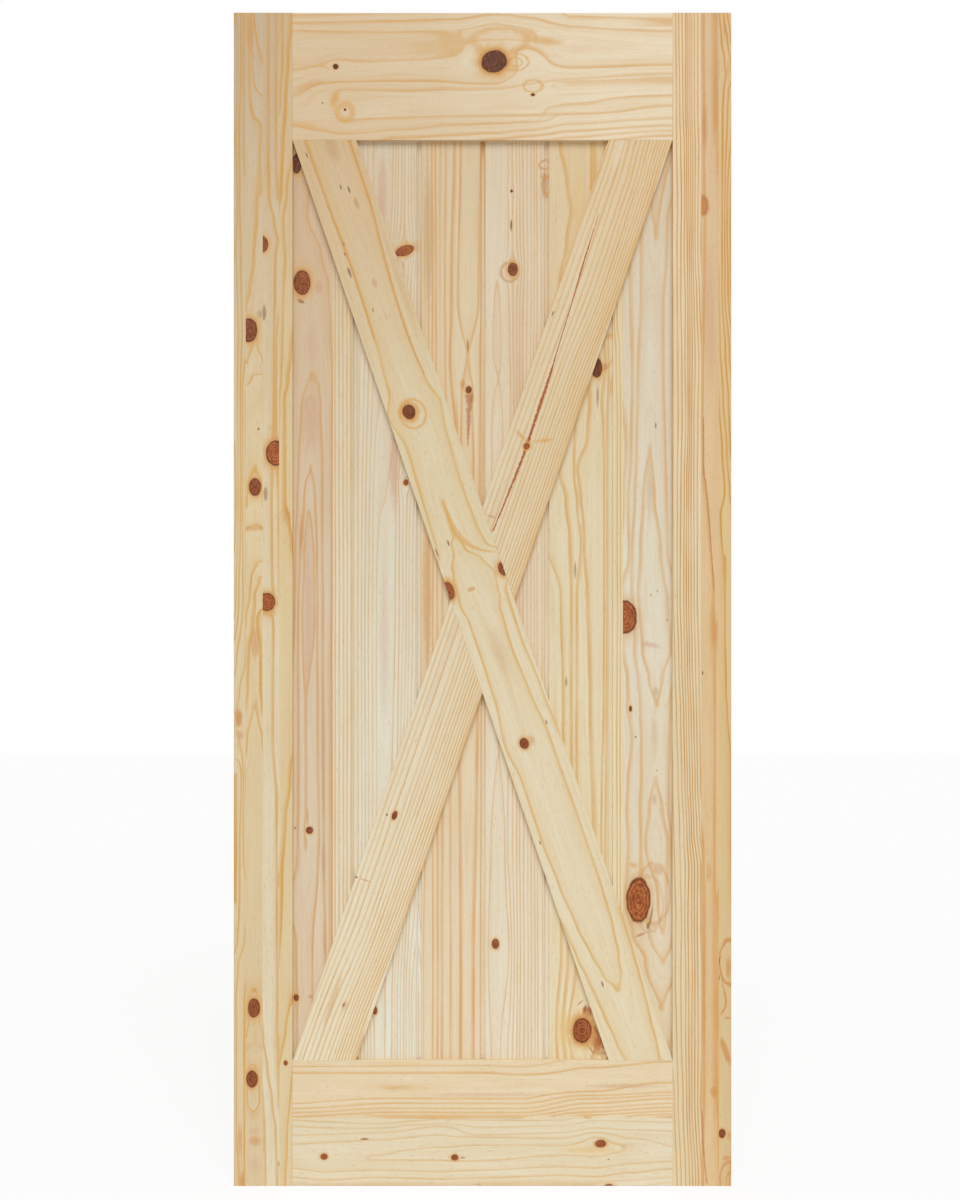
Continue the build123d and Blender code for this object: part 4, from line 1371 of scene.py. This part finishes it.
BOARDS["plank_6_right_strip"] = Board(
    grain="up",
    face=PLANK_FACE,
    tones=[(140, (220, 205, 177)), (600, (228, 219, 196)), (1060, (228, 211, 179))],
    line=(212, 156, 70),
    sections=[
        (150, [(623, 4.5), (635, 3.5), (642, 3), (649, 2), (656, 1.5), (665, 1.7), (673, 2)]),
        (232, [(623, 4.3), (628, 4), (641, 3), (648, 2.4), (656.5, 2), (664, 2.4), (668, 3), (673, 3.6)]),
        (300, [(623, 4.4), (628, 4.2), (641, 3), (652, 2.6), (664, 3), (673, 3.6)]),
        (380, [(623, 4.8), (627, 4.5), (632, 4), (638, 3), (650, 2.5), (664, 3), (673, 3.6)]),
        (453, [(623, 5.3), (626, 5), (631, 4), (636.5, 3), (643, 2.4), (650, 2), (657, 2.4), (666, 3),
               (673, 3.6)]),
        (500, [(623, 5.2), (628, 4), (634.5, 3), (642.8, 2), (649, 1.4), (655, 2), (662, 2.5), (667, 3),
               (673, 3.6)]),
        (550, [(623, 4.6), (629, 4), (632, 3), (640, 2), (650, 1.2), (661, 2), (668, 3), (673, 3.5)]),
        (600, [(623, 3.8), (630, 3), (636.5, 2), (650, 1.2), (668, 2), (673, 2.4)]),
        (650, [(623, 4), (633, 3), (641, 2), (655, 1.4), (671, 2), (673, 2.2)]),
        (680, [(623, 4.4), (627, 4), (637, 3), (648, 2), (656, 1.6), (662, 2), (668, 2.5), (673, 3)]),
        (703, [(623, 4.5), (628, 4), (639, 3), (648, 2.4), (656, 2), (663, 2.4), (670, 3), (673, 3.3)]),
        (742, [(623, 4.6), (628, 4.3), (641, 3), (655, 2.5), (669, 3), (673, 3.3)]),
        (782, [(623, 4.4), (641, 3), (649, 2.4), (655.5, 2), (662, 2.4), (669, 3), (673, 3.3)]),
        (810, [(623, 4.3), (640, 3), (649, 2), (655, 1.4), (662.8, 2), (669, 3), (673, 3.5)]),
        (842, [(623, 4.4), (640.5, 3), (645.3, 2), (656, 1.2), (667.8, 2), (671, 3), (673, 3.4)]),
        (900, [(623, 5.2), (624, 5), (627, 4.2), (639, 3), (650, 2.5), (656, 2), (661, 1.4), (666, 2),
               (673, 3)]),
        (933, [(623, 4.8), (628, 4.4), (648, 3), (655, 2.3), (661.5, 2), (667, 2.3), (673, 3)]),
        (962, [(623, 5.2), (624, 5), (645, 4), (656, 3.2), (662.8, 3), (669, 3.2), (673, 3.5)]),
        (1008, [(623, 5.6), (640, 5), (652, 4.4), (661.5, 4), (668, 4.3), (673, 4.7)]),
        (1060, [(623, 6.1), (624, 6), (655, 5), (661, 4.8), (668, 5), (673, 5.3)]),
    ],
    uneven=0.2,
    knots=[
        Knot(625, 617, 25, 34, dark=0.05, push=0.5, glow=0.3),
        Knot(639, 901, 24.5, 46, dark=0.0, push=0.5, glow=0.3),
        Knot(631, 709, 3, 6, dark=0.6),
    ],
    marks=[
        Mark(650, 490, 10, 80, tint="tan", amount=0.4, soft=0.9),
        Mark(655, 735, 11, 80, tint="tan", amount=0.35, soft=0.9),
        *alike((656, 692, 9, 14), (655, 800, 8, 16), tint="tan", amount=0.5, soft=0.8),
        Mark(651, 645, 30, 8, turn=10, tint="pink", amount=0.5, soft=0.8),
        Mark(650, 905, 27, 56, tint="pink", amount=0.4, soft=0.9, hollow=0.12, ragged=0.25),
        Mark(659, 870, 17, 16, turn=15, amount=0.42, soft=0.6, ragged=0.5),
        Mark(654, 895, 33, 60, amount=0.4, soft=0.9, hollow=0.13, ragged=0.25),
        *alike((657.5, 771, 2.4, 3), (651.4, 595, 2.4, 3), (658.2, 591, 2.4, 3), amount=0.8),
        Mark(641, 936, 17, 4, turn=-20, tint="rust", amount=0.6, soft=0.8),
        Mark(634, 866, 12, 8, turn=20, tint="amber", amount=0.7, soft=0.9),
        Mark(651.5, 918, 3, 28, turn=10, tint="brown", amount=0.7, soft=0.5),
        *alike((648.5, 927, 4.5, 9), (636.3, 737.3, 2.4, 2.4), tint="brown", amount=0.8),
        *alike((656.4, 424.6, 2, 8), (667.8, 620, 2, 3), tint="grey", amount=0.8),
    ],
    contrast=0.66,
    faint=0.25,
    soft=8.5,
    sharp=4.0,
    build=0.75,
    seed=18.0,
)
BOARDS["falling_brace"] = Board(
    grain="falling",
    tones=[(490, (212, 184, 143)), (400, (216, 190, 151)), (200, (223, 206, 169)), (-100, (229, 214, 181)),
           (-490, (230, 215, 181))],
    line=(214, 164, 70),
    sections=[
        (490, [(-32, 2.7), (-18.4, 2), (4, 1.4), (23.9, 2), (31, 2.6)]),
        (420, [(-32, 2.6), (-17.8, 2), (3, 1.5), (22.9, 2), (31, 2.5)]),
        (350, [(-32, 2.6), (-16.5, 2), (0, 1.4), (18, 2), (31, 2.6)]),
        (280, [(-32, 2.6), (-17.8, 2), (0, 1.5), (15.6, 2), (31, 2.7)]),
        (230, [(-32, 2.4), (-21, 2), (0, 1.5), (18, 2), (31, 2.4)]),
        (203, [(-32, 2.1), (-29.6, 2), (0, 1.6), (25.2, 2), (31, 2.2)]),
        (165, [(-32, 2.3), (-22.3, 2), (0, 1.5), (20.6, 2), (31, 2.4)]),
        (125, [(-32, 2.2), (-24.4, 2), (-5, 1.25), (18.5, 2), (31, 2.5)]),
        (106, [(-32, 2.3), (-25.2, 2), (-10, 1.1), (-5.5, 1), (-1, 1.1), (18.5, 2), (31, 2.5)]),
        (70, [(-32, 2.3), (-26.4, 2), (-12, 1.1), (-5.5, 1), (0, 1.1), (19.5, 2), (31, 2.5)]),
        (55, [(-32, 2.2), (-28, 2), (-12.5, 1), (-6, 0.7), (1, 1), (21.5, 2), (31, 2.4)]),
        (40, [(-32, 1.6), (-19, 1), (-3, 0.45), (13, 1), (27, 1.6), (32, 1.9)]),
        (22, [(-31, 1.5), (-24, 1.1), (0, 0.35), (23, 1.1), (31, 1.5)]),
        (0, [(-32, 1.6), (-23.4, 1), (-3, 0.35), (17.9, 1), (25.6, 2), (32, 2.5)]),
        (-15, [(-32, 1.6), (-20.5, 1), (-3, 0.35), (14, 1), (25, 2), (32, 2.6)]),
        (-50, [(-32, 1.6), (-20.5, 1), (-3, 0.35), (12.5, 1), (24.8, 2), (32, 2.6)]),
        (-100, [(-32, 1.6), (-21.5, 1), (-3, 0.35), (15.2, 1), (27.4, 2), (32, 2.4)]),
        (-146, [(-32, 1.4), (-26.3, 1), (-3, 0.35), (19.3, 1), (31, 2)]),
        (-180, [(-32, 1.5), (-22.2, 1), (-2, 0.4), (19.5, 1), (32, 1.8)]),
        (-250, [(-32, 1.5), (-22.8, 1), (-1, 0.4), (20, 1), (32, 1.8)]),
        (-300, [(-32, 1.7), (-20.5, 1), (-1, 0.45), (20, 1), (32, 1.8)]),
        (-340, [(-32, 2.2), (-29.5, 2), (-17, 1), (0, 0.55), (18.5, 1), (31, 2)]),
        (-370, [(-32, 2.5), (-27, 2), (-12.5, 1), (1, 0.7), (15.4, 1), (29, 2), (32, 2.2)]),
        (-392, [(-32, 2.6), (-24.2, 2), (-8, 1), (1, 0.85), (11, 1), (27.5, 2), (32, 2.3)]),
        (-412, [(-32, 2.6), (-22, 2), (-2, 1.02), (1.5, 1), (5.5, 1.02), (26.3, 2), (32, 2.4)]),
        (-430, [(-32, 2.6), (-20.2, 2), (0, 1.25), (25, 2), (32, 2.4)]),
        (-460, [(-32, 2.7), (-17.3, 2), (2, 1.45), (22.2, 2), (32, 2.5)]),
        (-495, [(-32, 2.8), (-13, 2), (3, 1.6), (19.3, 2), (32, 2.6)]),
    ],
    contrast=0.78,
    uneven=0.0,
    knots=[
        Knot(-8.4, 202, 12.5, 15, dark=0.65, push=0.3, glow=0.9),
        Knot(-7.1, -149, 9, 11, dark=0.45, push=0.3),
        Knot(-28.6, 20, 10, 18, dark=0.1, push=0.2, glow=0.9),
        Knot(29.5, 23, 9, 14, dark=0.35, push=0.2),
    ],
    marks=[
        Mark(-5.5, 199, 26, 29, tint="amber", amount=0.75, soft=0.9, hollow=0.17, ragged=0.15),
        Mark(-8.2, 202, 18.5, 20, tint="orange", amount=0.45, soft=0.9, hollow=0.14, ragged=0.1),
        Mark(1, -148, 10, 15, amount=0.5, soft=0.8),
        *alike((-28, 20, 18, 32), (26, 23, 16, 26), amount=0.45, soft=0.9),
        Mark(-7, 14, 12, 6, amount=0.6),
        Mark(4.5, 478, 18, 46, tint="tan", amount=0.6, soft=0.8),
        *alike((-1, -55, 24, 80), (25, 325, 9, 160), tint="tan", amount=0.3, soft=0.9),
        Mark(9.8, 417, 6, 17, tint="tan", amount=0.8),
        Mark(0.8, 335, 6, 13, tint="tan", amount=0.6),
        *alike((-21.7, 478, 2, 8), (7, 432, 3, 10), (-15.5, 382, 2, 6), (-17.8, 372, 2, 6),
               (-19.4, 353, 3.5, 14), (-9.4, 310, 2, 6), (20.8, -136, 2, 7), (-24.4, -248, 2, 6),
               tint="brown", amount=0.7),
        *alike((0, 437, 2, 8), (-11.3, -402, 2.5, 9), tint="brown", amount=0.8),
        Mark(-13.8, 65, 2.5, 9, tint="red", amount=0.8),
        Mark(-27.8, 60, 2, 11, tint="red", amount=0.7),
    ],
    faint=0.2,
    streaks=[
        Streak([(520, -18.4, 3), (420, -17.8, 3), (350, -16.5, 2.6), (280, -17.8, 2)], tint="orange",
               amount=0.45),
        Streak([(520, 23.8, 3.4), (420, 22.9, 3), (350, 18, 3), (280, 15.6, 2.6), (230, 18, 2)],
               tint="orange", amount=0.45),
        Streak([(104, -5.5, 2), (80, -4, 5), (62, 2, 7), (52, 10, 6), (45, 20, 5), (40, 30, 4)],
               tint="amber", amount=0.7),
    ],
    seed=19.0,
)
RISING_LOW = [(-32, 0.6)] + count(-28.8, -24, -20, -15, -10, -5, 0, 3.8, 7.7, 10.6, 13.5, 16.5, 19.5, 22.5,
                                  25.5, 28.5)
BOARDS["rising_brace"] = Board(
    grain="rising",
    tones=[(490, (228, 204, 166)), (200, (225, 208, 174)), (-200, (231, 219, 190)), (-490, (233, 222, 193))],
    line=(212, 154, 56),
    sections=[
        (490, [(-32, 0.4)] + count(-29, -24, -19, -14, -9.8, -4, 0.8, 5, 9, 12.5, 16, 19, 22, 25, 27.5, 30,
                                   start=0)),
        (440, [(-32, 0.2)] + count(-29, -23, -18, -12, -6.9, -0.6, 4, 8.5, 12, 15.2, 18.3, 21.3, 24.2, 27,
                                   29.7, start=0)),
        (330, [(-32, 0.2)] + count(-30, -24, -18, -12, -5.5, -0.2, 4.9, 9.6, 13, 16, 19, 21.8, 24.5, 27.2,
                                   29.8, start=0)),
        (230, count(-31, -25, -20, -14, -7, -2.5, 1, 5, 8.5, 12, 15, 18.3, 21.3, 24.2, 27, 29.7, start=0)),
        (-240, count(-31, -25, -20, -14, -7, -2.5, 1, 5, 8.5, 12, 15, 18.3, 21.3, 24.2, 27, 29.7, start=0)),
        (-330, count(-31, -25.5, -20, -14.5, -8.5, -3, 1, 5, 8.5, 12, 15, 18.3, 21.3, 24.2, 27, 29.7,
                     start=0)),
        (-460, RISING_LOW),
        (-495, RISING_LOW),
    ],
    soft=4.0,
    sharp=1.4,
    contrast=0.82,
    knots=[
        Knot(-8.4, 160, 5.5, 6.5, dark=0.15, push=0.5, glow=1.0),
        Knot(-13.2, -232, 5, 9, dark=0.4, push=0.8),
    ],
    marks=[
        *alike((-17, 168, 22, 6, 30), (6, 171, 28, 6, -25), tint="amber", amount=0.9, soft=0.9),
        Mark(-8.4, 163, 12, 16, amount=0.6, soft=0.9),
        *alike((-19, 82, 14, 4), (-20, -303, 16, 3), amount=0.6, soft=0.8),
        Mark(1, -428, 9, 16, amount=0.4, soft=0.9),
        Mark(-11.5, -430, 7, 90, amount=0.4, soft=0.8),
        Mark(-17, 470, 14, 60, tint="pale", amount=0.6, soft=0.8),
        Mark(-17, 0, 14, 420, tint="pink", amount=0.2, soft=0.8),
        *alike((-20.7, -234, 3, 3), (-26.7, 294, 2, 7), (-29.4, -303, 4, 3), tint="brown", amount=0.8),
        Mark(0.2, -428, 3, 6, tint="brown", amount=0.7),
    ],
    streaks=[
        Streak([(405, -15.5, 0.6), (380, -15, 1), (350, -14.2, 1.6), (320, -12.7, 1.2), (300, -11.7, 1),
                (270, -10.7, 1), (250, -9.8, 1.4), (235, -9.2, 2.6), (200, -9, 3.2), (172, -8.6, 2.8),
                (160, -8.4, 2.4), (140, -8.8, 2.6), (110, -10.3, 2), (85, -11.7, 1.6), (66, -12.7, 1.4)],
                tint="rust", amount=0.95),
    ],
    seed=20.0,
)
DOWEL = Board(
    grain="side",
    tones=[(293, (222, 196, 156)), (671, (224, 198, 158))],
    sections=[(293, [(13, 0), (1186, 300)]), (671, [(13, 0), (1186, 300)])],
    soft=1.6,
    sharp=0.8,
    seed=21.0,
)


def dress():
    """Gives every CAD piece its own board's material."""
    dowel = pine("dowel", DOWEL)
    for name, node in frame["nodes"].items():
        material = pine(name, BOARDS[name]) if name in BOARDS else dowel
        node.data.materials.clear()
        node.data.materials.append(material)


def seen_directly(nodes):
    """1 for what the camera, a mirror or clear glass sees, and 0 for the light that falls on the door."""
    path = nodes.add("LightPath", {}).node
    seen = nodes.math("MAXIMUM", path.outputs["Is Camera Ray"], path.outputs["Is Glossy Ray"])
    return nodes.math("MAXIMUM", seen, path.outputs["Is Transmission Ray"])


def floor():
    """A plain pale floor that keeps the door's shadow."""
    half = FLOOR_HALF
    mesh = bpy.data.meshes.new("floor")
    corners = [(-half, -half, 0), (half, -half, 0), (half, half, 0), (-half, half, 0)]
    mesh.from_pydata(corners, [], [(0, 1, 2, 3)])
    plane = bpy.data.objects.new("floor", mesh)
    bpy.context.collection.objects.link(plane)
    material = bpy.data.materials.new("pale_floor")
    material.use_nodes = True
    nodes = Nodes(material.node_tree)
    material.node_tree.nodes.clear()
    diffuse = nodes.add("BsdfDiffuse", {"Color": FLOOR_TONE})
    glow = nodes.add("Emission", {"Color": WHITE, "Strength": FLOOR_GLOW})
    seen = seen_directly(nodes)
    mixed = nodes.add("MixShader", {0: nodes.times(seen, FLOOR_GLOW_SHARE), 1: diffuse, 2: glow})
    output = material.node_tree.nodes.new("ShaderNodeOutputMaterial")
    material.node_tree.links.new(mixed, output.inputs["Surface"])
    mesh.materials.append(material)


def world():
    """White behind the door, and an even soft light for everything else."""
    space = bpy.data.worlds.new("studio")
    bpy.context.scene.world = space
    space.use_nodes = True
    tree = space.node_tree
    tree.nodes.clear()
    nodes = Nodes(tree)
    seen = seen_directly(nodes)
    soft = nodes.add("Background", {"Color": SOFT_COLOUR, "Strength": SOFT_LIGHT})
    white = nodes.add("Background", {"Color": WHITE, "Strength": 1.0})
    mixed = nodes.add("MixShader", {0: seen, 1: soft, 2: white})
    output = tree.nodes.new("ShaderNodeOutputWorld")
    tree.links.new(mixed, output.inputs["Surface"])


def lamp():
    """One broad soft light from above and a little to the right."""
    data = bpy.data.lights.new("key", "SUN")
    data.energy = SUN_STRENGTH
    data.color = SUN_COLOUR
    data.angle = SUN_SPREAD
    light = bpy.data.objects.new("key", data)
    bpy.context.collection.objects.link(light)
    ahead = cos(SUN_HEIGHT)
    from_light = Vector((sin(SUN_SIDE) * ahead, -cos(SUN_SIDE) * ahead, sin(SUN_HEIGHT)))
    light.rotation_mode = "QUATERNION"
    light.rotation_quaternion = from_light.to_track_quat("Z", "Y")


def camera():
    """A level camera in front of the door, framed as in the photo."""
    middle_x, middle_z = door_x(PHOTO_WIDTH / 2) / TO_MM, door_z(PHOTO_HEIGHT / 2) / TO_MM
    data = bpy.data.cameras.new("camera")
    data.sensor_width = SENSOR
    data.lens = SENSOR * CAMERA_DISTANCE / (PHOTO_HEIGHT * PIXEL / TO_MM)
    data.clip_end = FARTHEST_VIEW
    view = bpy.data.objects.new("camera", data)
    bpy.context.collection.objects.link(view)
    view.location = (middle_x, FACE / TO_MM - CAMERA_DISTANCE, middle_z)
    view.rotation_euler = (pi / 2, 0, 0)
    bpy.context.scene.camera = view


dress()
floor()
world()
lamp()
camera()
bpy.context.scene.view_settings.view_transform = "Standard"
